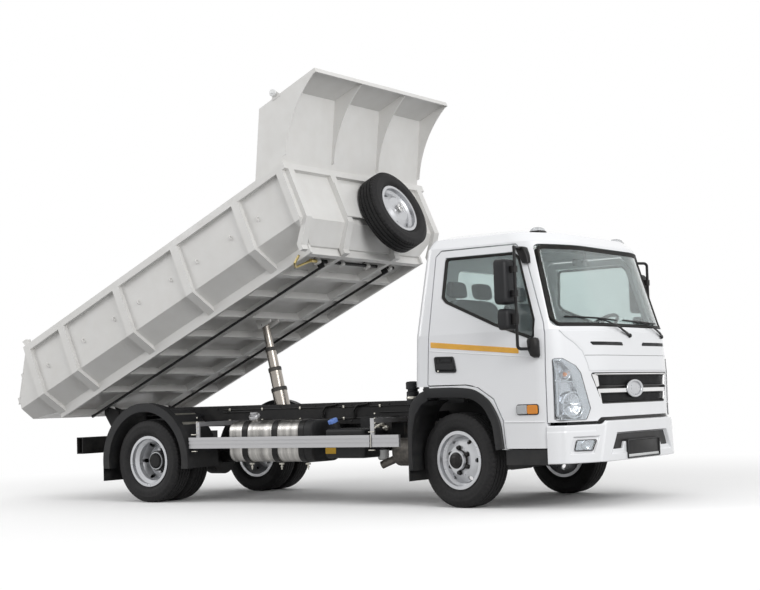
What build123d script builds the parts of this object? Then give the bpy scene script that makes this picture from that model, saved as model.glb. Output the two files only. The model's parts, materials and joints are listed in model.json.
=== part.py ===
from build123d import *
import os
from functools import cache
from math import cos, hypot, radians, sin

# A light two-axle cab-over tipper truck, standing with its bed raised and its front wheels turned.
# Working frame: +X forward, +Y to the truck's left, +Z up, origin on the ground under the front axle.
# Lengths are millimetres and angles are degrees. The finished model is moved along X at the very end
# so that its origin is on the ground in the middle of its length.

# ---------------------------------------------------------------- driving dimensions
WHEELBASE = 3440.0
RUN_GAP = 6.0                 # clearance between pieces that move past each other
FIT_GAP = 1.0                 # clearance between pieces that nest

# wheels
TYRE_RADIUS = 384.0
TYRE_WIDTH = 211.0
RIM_FLANGE_RADIUS = 237.0
RIM_WIDTH = 170.0
RIM_WALL = 7.0
DISC_WALL = 12.0
HUB_RADIUS = 82.0
FRONT_WHEEL_Y = 848.0         # middle of the front tyre
REAR_OUTER_Y = 900.0          # middle of the outer rear tyre
TWIN_SPACING = 240.0          # from outer to inner rear tyre

# steering
KINGPIN_Y = 745.0
KINGPIN_RADIUS = 22.0
STEER_REST = -9.5             # the front wheels stand turned to the truck's right
STEER_ARM_LENGTH = 150.0
STEER_ARM_Z = 300.0
TIE_ROD_RADIUS = 14.0

# ladder frame
FRAME_TOP = 877.0
RAIL_HEIGHT = 190.0
RAIL_OUTER_Y = 425.0
RAIL_FLANGE = 65.0
RAIL_WALL = 8.0
RAIL_FRONT_X = 830.0
RAIL_REAR_X = -4485.0

# bed hinge and tilt
HINGE_X = -4540.0
HINGE_Z = 875.0
HINGE_RADIUS = 18.0
BED_TILT = 23.5               # angle of the raised bed as it stands

# bed, in its own frame: x forward from the rear rib, z up from the bottom of the cross members
HINGE_ON_BED = (188.0, -13.0)
BED_LENGTH = 3490.0           # floor, from rear rib to front wall
BED_TOP_LENGTH = 3650.0
BED_HEIGHT = 780.0
BED_KNEE_Z = 250.0
BED_FLOOR_Z = 70.0
BED_FLOOR_HALF = 860.0
BED_SIDE_HALF = 1055.0
BED_WALL = 6.0
BED_TAIL = 330.0              # how far the tail reaches behind the rear rib
BED_TAIL_KNEE_Z = 316.0
BED_TAIL_FOOT_Z = 139.0
RIB_DEPTH = 42.0
RIB_WIDTH = 85.0
RIB_X = (0.0, 527.0, 1352.0, 2177.0, 3002.0)   # rear faces of the side ribs
TOP_RAIL_HEIGHT = 65.0
SILL_Y = 390.0
SILL_WIDTH = 60.0
CROSS_WIDTH = 50.0
CROSS_X = (20, 570, 985, 1395, 1810, 2220, 2635, 3045, 3440)   # middles of the cross members
GATE_PIVOT = (10.0, BED_HEIGHT + 46.0)
GATE_PIN_RADIUS = 14.0
RELEASE_X = 3300.0            # cross shaft of the tailgate's release
RELEASE_Z = 34.0
RELEASE_RADIUS = 16.0
RELEASE_ROD_Y = 500.0

# headboard and canopy over the bed's front wall
HEADBOARD_LEAN = 325.0
HEADBOARD_RISE = 580.0
CANOPY_REACH = 350.0
WING_LENGTH = 340.0
SHEET = 8.0

# spare wheel on the bed's front wall, in the bed's frame
CARRIER_PLATE = 12.0
SPARE_X = max(BED_LENGTH, BED_TOP_LENGTH) + RIB_DEPTH + CARRIER_PLATE + TYRE_WIDTH / 2 + 2
SPARE_Y = 154.0
SPARE_Z = 320.0

# cab: plan sections, from the sill up to the roof
CAB_SECTIONS = (
    # z, rear x, side's front x, front x, half width, half width of the flat front
    (470.0, -380.0, 925.0, 1108.0, 1032.0, 600.0),
    (1060.0, -380.0, 925.0, 1108.0, 1032.0, 600.0),
    (1400.0, -362.0, 890.0, 1092.0, 1032.0, 590.0),
    (2110.0, -276.0, 700.0, 880.0, 955.0, 560.0),
    (2185.0, -240.0, 640.0, 800.0, 905.0, 530.0),
    (2222.0, -130.0, 500.0, 640.0, 760.0, 450.0),
)
CAB_CORNER_RADII = (70.0, 240.0, 700.0)   # rear corner, side to front, front to flat
CAB_WALL = 60.0
CAB_BELT_Z = 1400.0           # bottom of the windscreen
CAB_HEADER_Z = 2110.0         # top of the windscreen
CAB_BACK_Z = 985.0            # lower edge of the cab's back
CAB_NOSE_Z = 675.0            # lower edge of the front panel
TUNNEL_HALF = 450.0           # hollow half width of the raised middle of the floor
TUNNEL_FRONT_X = 900.0
TUNNEL_WALL = 30.0
CAB_PIVOT_X = 1085.0
CAB_PIVOT_Z = 668.0
DOOR_FRONT_X = 840.0
DOOR_SILL_Z = 478.0
DOOR_GAP = 10.0
GLASS = 6.0

# side views of the cab's openings, in X and Z
ARCH_OUTLINE = [
    (440, 300), (440, 500), (415, 690), (325, 850), (180, 935), (0, 950), (-460, 950), (-460, 300),
]
DOOR_OUTLINE = [
    (-215, 1350), (-235, 995), (120, 995), (230, 974), (382, 874), (462, 703), (482, DOOR_SILL_Z),
    (DOOR_FRONT_X, DOOR_SILL_Z), (DOOR_FRONT_X, 1370), (828, 1450), (665, 1985), (585, 2085),
    (-110, 2085), (-160, 2040),
]
WINDOW_OUTLINE = [
    (-70, 2030), (575, 2030), (625, 1985), (770, 1480), (765, 1345), (735, 1325), (394, 1450),
    (-60, 1655), (-100, 1700),
]

# front bumper
BUMPER_TOP = 650.0
BUMPER_BOTTOM = 354.0
BUMPER_FRONT = 1150.0
BUMPER_WALL = 40.0
POCKET_DEPTH = 12.0           # of the fog lamps' recesses
GRILLE_FRAME = 22.0
FLARE_DEPTH = 20.0            # how far the arch flares stand out
FLARE_LIP = 16.0

# hoist: a telescopic cylinder between the rails
HOIST_X = -2590.0
HOIST_Z = 800.0               # height of the barrel's trunnions
HOIST_BOTTOM = 485.0
HOIST_EYE_ON_BED = (2100.0, 0.0)
HOIST_RADII = (88.0, 74.0, 61.0, 49.0, 38.0)   # barrel, three stages, rod
HOIST_WALL = 6.0
HOIST_STEP = 6.0              # how far each closed stage stands out of the one before
HOIST_EYE_RADIUS = 26.0
HOIST_EYE_HALF = 34.0         # half width of the rod's eye
TRUNNION_RADIUS = 22.0
HOIST_PIN_RADIUS = 12.0


# ---------------------------------------------------------------- shape helpers
def outline(points, radius=0.0):
    """A closed flat face through the points, with every corner rounded to the radius."""
    if radius > 0:
        return make_face(FilletPolyline(*points, radius=radius, close=True))
    return make_face(Polyline(*points, close=True))


def side_prism(points, y0, y1, radius=0.0):
    """An outline in X and Z, carried along Y from y0 to y1."""
    plane = Plane(origin=(0, y0, 0), x_dir=(1, 0, 0), z_dir=(0, -1, 0))
    return extrude(plane * outline(points, radius), amount=y1 - y0, dir=(0, 1, 0))


def front_prism(points, x0, x1, radius=0.0):
    """An outline in Y and Z, carried along X from x0 to x1."""
    plane = Plane(origin=(x0, 0, 0), x_dir=(0, 1, 0), z_dir=(1, 0, 0))
    return extrude(plane * outline(points, radius), amount=x1 - x0, dir=(1, 0, 0))


def block(x0, x1, y0, y1, z0, z1):
    """A box between two corners."""
    return Pos((x0 + x1) / 2, (y0 + y1) / 2, (z0 + z1) / 2) * Box(abs(x1 - x0), abs(y1 - y0), abs(z1 - z0))


def rod(start, end, radius):
    """A round bar from start to end."""
    along = Vector(*end) - Vector(*start)
    plane = Plane(origin=start, z_dir=along)
    return extrude(plane * Circle(radius), amount=along.length)


def disc_y(x, y0, y1, z, radius):
    """A round bar along Y."""
    return rod((x, y0, z), (x, y1, z), radius)


def both_sides(shape):
    """The shape and its mirror image across the truck's middle, as one piece."""
    return Compound(children=[*shape.solids(), *mirror(shape, about=Plane.XZ).solids()])


def joined(shapes):
    """All shapes fused together."""
    first, *others = shapes
    return first.fuse(*others) if others else first


def as_set(shapes):
    """All solids of the shapes side by side, without joining them."""
    return Compound(children=[solid for shape in shapes for solid in shape.solids()])


# ---------------------------------------------------------------- places that pieces share
RAIL_BOTTOM = FRAME_TOP - RAIL_HEIGHT
REAR_AXLE_X = -WHEELBASE
AXLE_Z = TYRE_RADIUS


def bed_place():
    """Carries the bed's own frame to where the raised bed stands."""
    hinge = Pos(HINGE_X, 0, HINGE_Z)
    return hinge * Rot(0, -BED_TILT, 0) * Pos(-HINGE_ON_BED[0], 0, -HINGE_ON_BED[1])


# ---------------------------------------------------------------- wheels
@cache
def tyre():
    """One tyre on the Y axis: flat tread with rounded shoulders and bulged sidewalls."""
    half = TYRE_WIDTH / 2
    tread_half = half * 0.82
    bead_half = RIM_WIDTH / 2 - RIM_WALL - FIT_GAP
    bead_radius = RIM_FLANGE_RADIUS - 18
    crown = TYRE_RADIUS - 4
    bulge = (TYRE_RADIUS + bead_radius) / 2
    clinch = RIM_FLANGE_RADIUS + FIT_GAP
    profile = make_face([
        Line((bead_radius, -bead_half), (bead_radius, bead_half)),
        Line((bead_radius, bead_half), (clinch, bead_half)),
        ThreePointArc((clinch, bead_half), (bulge, half), (crown - 14, tread_half + 8)),
        Line((crown - 14, tread_half + 8), (crown, tread_half - 4)),
        ThreePointArc((crown, tread_half - 4), (TYRE_RADIUS, 0), (crown, -tread_half + 4)),
        Line((crown, -tread_half + 4), (crown - 14, -tread_half - 8)),
        ThreePointArc((crown - 14, -tread_half - 8), (bulge, -half), (clinch, -bead_half)),
        Line((clinch, -bead_half), (bead_radius, -bead_half)),
    ])
    return revolve(profile, axis=Axis.Y)


@cache
def rim(disc_y_inner, disc_y_outer, hub_from=None, hub_to=None):
    """One rim on the Y axis: drop-centre barrel, dished disc with hand holes, and hub boss.

    The disc runs from its seat in the barrel (disc_y_inner) to its hub face (disc_y_outer).
    """
    half = RIM_WIDTH / 2
    seat = RIM_FLANGE_RADIUS - 18 - FIT_GAP
    well = seat - 30
    barrel = revolve(outline([
        (RIM_FLANGE_RADIUS, -half), (RIM_FLANGE_RADIUS, -half + RIM_WALL), (seat, -half + RIM_WALL),
        (seat, -half + 35), (well, -half + 60), (well, half - 60), (seat, half - 35),
        (seat, half - RIM_WALL), (RIM_FLANGE_RADIUS, half - RIM_WALL), (RIM_FLANGE_RADIUS, half),
        (seat - RIM_WALL, half), (seat - RIM_WALL, half - 38), (well - RIM_WALL, half - 64),
        (well - RIM_WALL, -half + 64), (seat - RIM_WALL, -half + 38), (seat - RIM_WALL, -half),
    ]), axis=Axis.Y)
    disc = revolve(outline([
        (well - RIM_WALL / 2, disc_y_inner), (well - RIM_WALL / 2, disc_y_inner + DISC_WALL),
        (150, disc_y_outer - (disc_y_outer - disc_y_inner) * 0.15), (120, disc_y_outer + DISC_WALL),
        (20, disc_y_outer + DISC_WALL), (20, disc_y_outer),
        (116, disc_y_outer), (145, disc_y_outer - (disc_y_outer - disc_y_inner) * 0.15 - DISC_WALL),
    ]), axis=Axis.Y)
    for index in range(6):
        angle = radians(60 * index)
        disc -= disc_y(168 * cos(angle), -half, half, 168 * sin(angle), 19)
    pieces = [barrel, disc]
    if hub_to is not None:
        pieces.append(disc_y(0, hub_from, hub_to, 0, HUB_RADIUS))
        for index in range(6):
            angle = radians(60 * index + 30)
            pieces.append(disc_y(101 * cos(angle), disc_y_outer, disc_y_outer + 38, 101 * sin(angle), 13))
    return joined(pieces)


def front_wheel_place(side):
    """Carries a front wheel from the Y axis to its knuckle; side is +1 on the left."""
    kingpin = Pos(0, side * KINGPIN_Y, AXLE_Z)
    turned = Rot(0, 0, STEER_REST)
    out = Pos(0, side * (FRONT_WHEEL_Y - KINGPIN_Y), 0)
    flip = Rot(0, 0, 0) if side > 0 else Rot(0, 0, 180)
    return kingpin * turned * out * flip


@cache
def front_rim():
    """Front rim with its convex disc near the outer face, outer face towards +Y."""
    return rim(20, 60, 36, 118)


@cache
def rear_rims():
    """Twin rims on one hub, outer face towards +Y, middle between them at y = 0."""
    outer = Pos(0, TWIN_SPACING / 2, 0) * rim(-40, -TWIN_SPACING / 2 + 8 + DISC_WALL, -90, -10)
    inner = Pos(0, -TWIN_SPACING / 2, 0) * Rot(0, 0, 180) * rim(-40, -TWIN_SPACING / 2 + 8, -118, -90)
    return joined([outer, inner, disc_y(0, -60, 40, 0, HUB_RADIUS)])


# ---------------------------------------------------------------- chassis
def rail():
    """One frame rail of the left side, a C section open towards the middle."""
    web = block(RAIL_REAR_X, RAIL_FRONT_X, RAIL_OUTER_Y - RAIL_WALL, RAIL_OUTER_Y, RAIL_BOTTOM, FRAME_TOP)
    inner = RAIL_OUTER_Y - RAIL_FLANGE
    top = block(RAIL_REAR_X, RAIL_FRONT_X, inner, RAIL_OUTER_Y, FRAME_TOP - RAIL_WALL, FRAME_TOP)
    bottom = block(RAIL_REAR_X, RAIL_FRONT_X, inner, RAIL_OUTER_Y, RAIL_BOTTOM, RAIL_BOTTOM + RAIL_WALL)
    return joined([web, top, bottom])


def hinge_ears():
    """Two ears and a pin at the end of the left rail, round the bed's hinge eye."""
    ears = []
    for y0 in (SILL_Y - SILL_WIDTH / 2 - 18, SILL_Y + SILL_WIDTH / 2 + RUN_GAP):
        plate = side_prism([
            (RAIL_REAR_X + 110, RAIL_BOTTOM + 20), (RAIL_REAR_X + 110, FRAME_TOP - 12),
            (HINGE_X, HINGE_Z + 34), (HINGE_X - 34, HINGE_Z + 20), (HINGE_X - 34, HINGE_Z - 40),
            (RAIL_REAR_X, RAIL_BOTTOM + 20),
        ], y0, y0 + 12)
        ears.append(plate)
    pin = disc_y(HINGE_X, SILL_Y - SILL_WIDTH / 2 - 24, SILL_Y + SILL_WIDTH / 2 + 26, HINGE_Z, HINGE_RADIUS)
    return joined([*ears, pin])


def hoist_cradle():
    """Two cross channels that carry the hoist's trunnions, with bearing blocks on their inner sides."""
    pieces = []
    for x in (HOIST_X - 190, HOIST_X + 150):
        pieces.append(block(x, x + 40, -RAIL_OUTER_Y + RAIL_WALL, RAIL_OUTER_Y - RAIL_WALL, 720, 850))
    for side in (-1, 1):
        y = side * (HOIST_RADII[0] + 45)
        pieces.append(block(HOIST_X - 152, HOIST_X + 152, y - 15, y + 15, HOIST_Z - 45, HOIST_Z + 40))
    bore = disc_y(HOIST_X, -200, 200, HOIST_Z, TRUNNION_RADIUS + FIT_GAP)
    return [piece - bore for piece in pieces]


def frame():
    """Ladder frame with cross members, rear hinge ears and the hoist's cradle."""
    left = joined([rail(), hinge_ears()])
    pieces = [left, mirror(left, about=Plane.XZ)]
    inner = RAIL_OUTER_Y - RAIL_WALL
    for x in (-4440, -3880, -3180, -1850, -1250, 735):
        web = block(x, x + 8, -inner, inner, RAIL_BOTTOM + 30, FRAME_TOP - 30)
        flange = block(x, x + 50, -inner, inner, FRAME_TOP - 38, FRAME_TOP - 30)
        foot = block(x, x + 50, -inner, inner, RAIL_BOTTOM + 30, RAIL_BOTTOM + 38)
        pieces += [web, flange, foot]
    return joined([*pieces, *hoist_cradle()])


def front_axle():
    """Forged beam with a dropped middle, ending in forks' eyes for the kingpins."""
    half = KINGPIN_Y
    beam = front_prism([
        (-half + 45, AXLE_Z - 42), (-half + 110, AXLE_Z - 42), (-half + 200, 270), (half - 200, 270),
        (half - 110, AXLE_Z - 42), (half - 45, AXLE_Z - 42), (half - 45, AXLE_Z + 30), 
        (half - 130, AXLE_Z + 30),
        (half - 215, 352), (-half + 215, 352), (-half + 130, AXLE_Z + 30), (-half + 45, AXLE_Z + 30),
    ], -38, 38)
    pieces = [beam]
    for side in (-1, 1):
        eye = rod((0, side * half, AXLE_Z - 42), (0, side * half, AXLE_Z + 30), 46)
        pin = rod((0, side * half, AXLE_Z - 95), (0, side * half, AXLE_Z + 83), KINGPIN_RADIUS)
        bridge = block(-38, 38, side * (half - 60), side * (half - 20), AXLE_Z - 42, AXLE_Z + 30)
        seat = block(-70, 70, side * 350 - 40, side * 350 + 40, 352, 372)
        pieces += [eye, pin, bridge, seat]
    return joined(pieces)


def leaf_spring(axle_x, half_length, seat_z, eye_z):
    """One leaf pack of the left side: three leaves of falling length, bent down over the axle."""
    pieces = []
    for index, share in enumerate((1.0, 0.72, 0.45)):
        reach = half_length * share
        drop = (eye_z - seat_z) * share * share
        low = seat_z + 26 - 13 * index
        upper = ThreePointArc((axle_x - reach, low + drop + 13), (axle_x, low + 13),
                              (axle_x + reach, low + drop + 13))
        lower = ThreePointArc((axle_x - reach, low + drop), (axle_x, low), (axle_x + reach, low + drop))
        ends = [Line(upper @ 0, lower @ 0), Line(upper @ 1, lower @ 1)]
        plane = Plane(origin=(0, 315, 0), x_dir=(1, 0, 0), z_dir=(0, -1, 0))
        pieces.append(extrude(plane * make_face([upper, lower, *ends]), amount=-70))
    for end in (-1, 1):
        x = axle_x + end * half_length
        pieces.append(disc_y(x, 315, 385, eye_z + 32, 26))
        pieces.append(block(x - 35, x + 35, 302, 314, eye_z + 5, RAIL_BOTTOM))
        pieces.append(block(x - 35, x + 35, 386, 398, eye_z + 5, RAIL_BOTTOM))
        pieces.append(disc_y(x, 302, 398, eye_z + 32, 12))
    pieces.append(block(axle_x - 65, axle_x + 65, 310, 390, seat_z + 38, seat_z + 56))
    return joined(pieces)


def springs():
    """The four leaf packs with their hangers."""
    front = leaf_spring(0, 520, 372, 560)
    rear = leaf_spring(REAR_AXLE_X, 600, AXLE_Z + 72, 570)
    return as_set([both_sides(front), both_sides(rear)])


def rear_axle():
    """Banjo housing with tapered tubes, spring seats and the pinion nose."""
    tube = disc_y(REAR_AXLE_X, -560, 560, AXLE_Z, 58)
    banjo = Pos(REAR_AXLE_X, 0, AXLE_Z) * Rot(0, 90, 0) * Cylinder(170, 150)
    cover = Pos(REAR_AXLE_X - 85, 0, AXLE_Z) * Sphere(130)
    nose = rod((REAR_AXLE_X + 60, 0, AXLE_Z), (REAR_AXLE_X + 250, 0, AXLE_Z + 12), 62)
    seats = [block(REAR_AXLE_X - 60, REAR_AXLE_X + 60, y - 40, y + 40, AXLE_Z + 40, AXLE_Z + 72)
             for y in (-350, 350)]
    ends = [disc_y(REAR_AXLE_X, y0, y1, AXLE_Z, 45) for y0, y1 in ((-700, -540), (540, 700))]
    return joined([tube, banjo, cover, nose, *seats, *ends])


def propeller_shaft():
    """Tube with its two joints, from the gearbox to the rear axle's pinion."""
    start = (-1090, 0, 505)
    end = (REAR_AXLE_X + 256, 0, AXLE_Z + 14)
    tube = rod(start, end, 42)
    flanges = [rod((start[0] + 4, 0, start[2]), (start[0] - 30, 0, start[2]), 62),
               rod((end[0] - 0, 0, end[2]), (end[0] + 34, 0, end[2]), 62)]
    return joined([tube, *flanges])


def engine():
    """Engine and gearbox as one plain block each, joined at the bell housing."""
    cylinder_block = block(-380, 430, -300, 300, 440, 925)
    bell = block(-600, -380, -240, 240, 400, 790)
    gearbox = block(-1080, -600, -170, 170, 400, 700)
    return joined([cylinder_block, bell, gearbox])


def radiator():
    """Radiator core with its side tanks."""
    core = block(575, 655, -290, 290, 420, 925)
    tanks = [block(565, 665, y0, y1, 410, 935) for y0, y1 in ((-330, -290), (290, 330))]
    return joined([core, *tanks])


def tank_section(half_depth, half_height, radius):
    """Rounded rectangular section of a tank."""
    return RectangleRounded(2 * half_depth, 2 * half_height, radius)


def fuel_tank():
    """Fuel tank on the right side, with raised straps, rounded ends and filler neck."""
    x0, x1, y, z = -2520.0, -1560.0, -690.0, 553.0
    plane = Plane(origin=(x0, y, z), x_dir=(0, 1, 0), z_dir=(1, 0, 0))
    body = extrude(plane * tank_section(215, 183, 95), amount=x1 - x0)
    body = fillet(body.faces().filter_by(Axis.X).edges(), 30)
    pieces = [body]
    for x in (x0 + 175, x0 + 520, x0 + 820):
        strap = Plane(origin=(x, y, z), x_dir=(0, 1, 0), z_dir=(1, 0, 0))
        pieces.append(extrude(strap * tank_section(221, 189, 99), amount=52))
        pieces.append(block(x, x + 52, RAIL_OUTER_Y * -1 - 80, -RAIL_OUTER_Y, z - 150, z + 150))
    pieces.append(rod((x0 + 250, y - 90, z + 150), (x0 + 250, y - 130, z + 225), 42))
    return joined(pieces)


def urea_tank():
    """Small plastic tank ahead of the fuel tank, with its capped neck."""
    body = block(-1430, -1010, -880, -520, 400, 655)
    body = fillet(body.edges(), 28)
    neck = rod((-1360, -800, 640), (-1375, -825, 712), 40)
    bracket = block(-1300, -1140, -525, -RAIL_OUTER_Y, 480, RAIL_BOTTOM + 60)
    return joined([body, neck, bracket])


def battery_box():
    """Battery box on the left side with its lid and bracket."""
    body = block(-1750, -1150, 520, 900, 440, 700)
    lid = block(-1765, -1135, 505, 915, 700, 730)
    bracket = block(-1650, -1250, RAIL_OUTER_Y, 522, 560, 780)
    return joined([fillet(body.edges().filter_by(Axis.Z), 20), lid, bracket])


def air_tanks():
    """Two brake air reservoirs beside the left rail."""
    pieces = []
    for z in (500, 705):
        tank = rod((-2750, 560, z), (-2050, 560, z), 95)
        pieces.append(fillet(tank.edges(), 40))
    pieces += [block(x, x + 40, RAIL_OUTER_Y, 560, 520, 780) for x in (-2600, -2250)]
    return joined(pieces)


def exhaust():
    """Silencer under the right side ahead of the tank, with pipes."""
    can = rod((-870, -570, 440), (-490, -570, 440), 120)
    inlet = rod((-500, -560, 440), (-420, -480, 440), 38)
    tail = rod((-1000, -640, 330), (-860, -600, 390), 34)
    hanger = block(-740, -700, -570, -RAIL_OUTER_Y, 500, RAIL_BOTTOM + 40)
    return joined([fillet(can.edges(), 30), inlet, tail, hanger])


def guard_beam(x0, x1, y):
    """One side rail of the right side, with two grooves along its outer face."""
    beam = block(x0, x1, y - 14, y + 14, 500, 600)
    grooves = [block(x0 - 1, x1 + 1, y - 15, y - 8, z - 6, z + 6) for z in (534, 566)]
    return joined([beam]) - grooves


def side_guards():
    """Side rails between the wheels, on posts from the frame, one set per side."""
    y = -1000.0
    pieces = [guard_beam(-2900, -860, y), guard_beam(-830, -560, y)]
    pieces.append(block(-870, -820, y + 14, y + 22, 510, 590))
    for x in (-2810, -845):
        pieces.append(block(x - 20, x + 20, y + 14, y + 30, 500, 740))
        pieces.append(block(x - 20, x + 20, y + 14, -RAIL_OUTER_Y, 700, 740))
    return both_sides(joined(pieces))


def fender_half():
    """Rear fender of the left side: crown, outer lip, mudflap and stay."""
    inner_y, outer_y = 545.0, 1040.0
    sweep = 196.0
    centre = Pos(REAR_AXLE_X, 0, AXLE_Z)
    rings = []
    for y0, y1, r0, r1 in ((inner_y, outer_y, 466, 480), (960, outer_y, 480, 545)):
        plane = Plane(origin=(0, y0, 0), x_dir=(1, 0, 0), z_dir=(0, -1, 0))
        ring = extrude(plane * (Circle(r1) - Circle(r0)), amount=-(y1 - y0))
        rings.append(ring)
    crown = joined(rings) - block(-700, 700, 0, 1200, -700, -66)
    crown = centre * crown
    flap_x = REAR_AXLE_X - 535
    flap = block(flap_x - 8, flap_x, 560, outer_y, 200, AXLE_Z + 20)
    web = block(flap_x - 8, REAR_AXLE_X - 470, 560, outer_y, AXLE_Z - 40, AXLE_Z - 30)
    stay = [rod((x, RAIL_OUTER_Y, 790), (x, 836, 790), 16) for x in (REAR_AXLE_X - 180, REAR_AXLE_X + 180)]
    stay += [rod((x, 820, 790), (x, 820, 822), 16) for x in (REAR_AXLE_X - 180, REAR_AXLE_X + 180)]
    return joined([crown, flap, web, *stay])


def front_flap():
    """Mudflap and inner arch behind the left front wheel."""
    flap = block(-470, -462, 640, 1010, 216, 650)
    top = side_prism([(-470, 640), (-462, 640), (-420, 880), (-428, 880)], 712, 1010)
    stay = block(-474, -450, RAIL_OUTER_Y, 660, 620, 655)
    return joined([flap, top, stay])


def mudguards():
    """Rear fenders and the flaps behind the front wheels."""
    return as_set([both_sides(fender_half()), both_sides(front_flap())])


def underrun_bar():
    """Rear underrun beam on two hangers."""
    bar = block(-4400, -4320, -985, 985, 457, 617)
    hollow = block(-4392, -4328, -995, 995, 465, 609)
    hangers = [block(-4320, -4230, y - 6, y + 6, 470, 860) for y in (-RAIL_OUTER_Y - 6, RAIL_OUTER_Y + 6)]
    return joined([bar - hollow, *hangers])


def tail_lamps():
    """Rear lamp clusters on their bracket, one per side."""
    lamp = block(-4440, -4400, 560, 880, 478, 598)
    lamp = fillet(lamp.edges().filter_by(Axis.X), 18)
    return both_sides(lamp)


def air_intake():
    """Intake stack behind the cab's right corner, with its clamp band."""
    pieces = [rod((-470, -640, 700), (-470, -640, 1010), 62)]
    pieces.append(rod((-470, -640, 1010), (-470, -640, 1090), 78))
    pieces.append(rod((-470, -640, 955), (-470, -640, 975), 68))
    pieces.append(block(-500, -440, -600, -RAIL_OUTER_Y, 720, 780))
    return joined(pieces)


def cab_plan(z, rear, side_front, front, half, flat, inset=0.0):
    """Plan outline of the cab at one height, drawn in by the inset on every side."""
    rear_r, side_r, nose_r = CAB_CORNER_RADII
    radii = [max(rear_r - inset, 8), max(side_r - inset, 20), max(nose_r - inset, 40)]
    side_front = side_front - 0.45 * inset
    flat = flat - 0.6 * inset
    points = [
        (rear + inset, -half + inset), (side_front, -half + inset), (front - inset, -flat),
        (front - inset, flat), (side_front, half - inset), (rear + inset, half - inset),
    ]
    line = FilletPolyline(*points, radius=[radii[0], radii[1], radii[2], radii[2], radii[1], radii[0]],
                          close=True)
    return Pos(0, 0, z) * make_face(line)


@cache
def cab_form(inset=0.0):
    """The cab's outer form, drawn in by the inset: ruled between its plan sections."""
    sections = []
    for z, rear, side_front, front, half, flat in CAB_SECTIONS:
        top = z - inset if z > CAB_HEADER_Z else z
        sections.append(cab_plan(top, rear, side_front, front, half, flat, inset))
    return loft(sections, ruled=True)


def cab_layer(outer, inner):
    """The part of the cab's wall between two depths below its outer surface."""
    return cab_form(outer) - cab_form(inner)


def side_opening(points, side, grow=0.0):
    """A prism through one side wall of the cab, its outline grown by the given gap."""
    face = Plane.XZ * outline(points, 12)
    if grow:
        face = offset(face, amount=grow, kind=Kind.INTERSECTION)
    return extrude(face, amount=1300, dir=(0, side, 0))


def windscreen_opening(grow=0.0):
    """A prism through the cab's front, as wide as the windscreen."""
    points = [
        (-975 - grow, CAB_BELT_Z + 20 - grow), (975 + grow, CAB_BELT_Z + 20 - grow),
        (900 + grow, CAB_HEADER_Z - 25 + grow), (-900 - grow, CAB_HEADER_Z - 25 + grow),
    ]
    return front_prism(points, 560, 1300, 40)


def rear_opening(grow=0.0):
    """A prism through the cab's back, as large as the rear window."""
    points = [(-520 - grow, 1560 - grow), (520 + grow, 1560 - grow), (500 + grow, 1960 + grow),
              (-500 - grow, 1960 + grow)]
    return front_prism(points, -500, -200, 40)


def cab_interior():
    """The space inside the cab, above its stepped floor."""
    space = side_prism([
        (360, 760), (1200, 760), (1200, 2300), (-500, 2300), (-500, 1035), (300, 1035),
    ], -1200, 1200)
    return cab_form(CAB_WALL) & space


def cab_underside():
    """The space below the cab's floor, between its side skins."""
    space = side_prism([
        (1030, 400), (1030, 720), (345, 720), (285, 995), (-500, 995), (-500, 400),
    ], -1200, 1200)
    return cab_form(CAB_WALL) & space


def cab_tunnel():
    """Raised middle of the front floor, over the frame, engine and radiator, with the hollow below it."""
    cover = block(330, TUNNEL_FRONT_X + TUNNEL_WALL, -TUNNEL_HALF - TUNNEL_WALL, TUNNEL_HALF + TUNNEL_WALL,
                  720, 1035)
    hollow = block(280, TUNNEL_FRONT_X, -TUNNEL_HALF, TUNNEL_HALF, 600, 995)
    return cover, hollow


def cab_body():
    """The cab as one hollow form, before it is split where its panels meet."""
    cover, hollow = cab_tunnel()
    body = (cab_form() - cab_interior() - cab_underside()).fuse(cover) - hollow
    body -= block(DOOR_FRONT_X - 2, 1400, -1200, 1200, 400, CAB_NOSE_Z)
    body -= side_prism(ARCH_OUTLINE, -1200, 1200)
    body -= block(-600, -230, -1200, 1200, 400, CAB_BACK_Z)
    return body


def headlamp_outline():
    """Front view of the right headlamp."""
    return [(-1060, 1190), (-955, 1150), (-885, 1085), (-780, 790), (-800, 695), (-1060, 695)]


def headlamp_prism():
    """A prism through the front panel's right corner, as large as the headlamp."""
    return front_prism(headlamp_outline(), 893, 1300)


def grille_outline(grow=0.0):
    """Front view of the grille's opening."""
    return [(-700 - grow, 1054 + grow), (700 + grow, 1054 + grow), (575 + grow, 806 - grow),
            (-575 - grow, 806 - grow)]


def front_box():
    """The region of the cab that its front panel fills."""
    return block(DOOR_FRONT_X + DOOR_GAP, 1400, -1200, 1200, 300, CAB_BELT_Z - 15)


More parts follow.
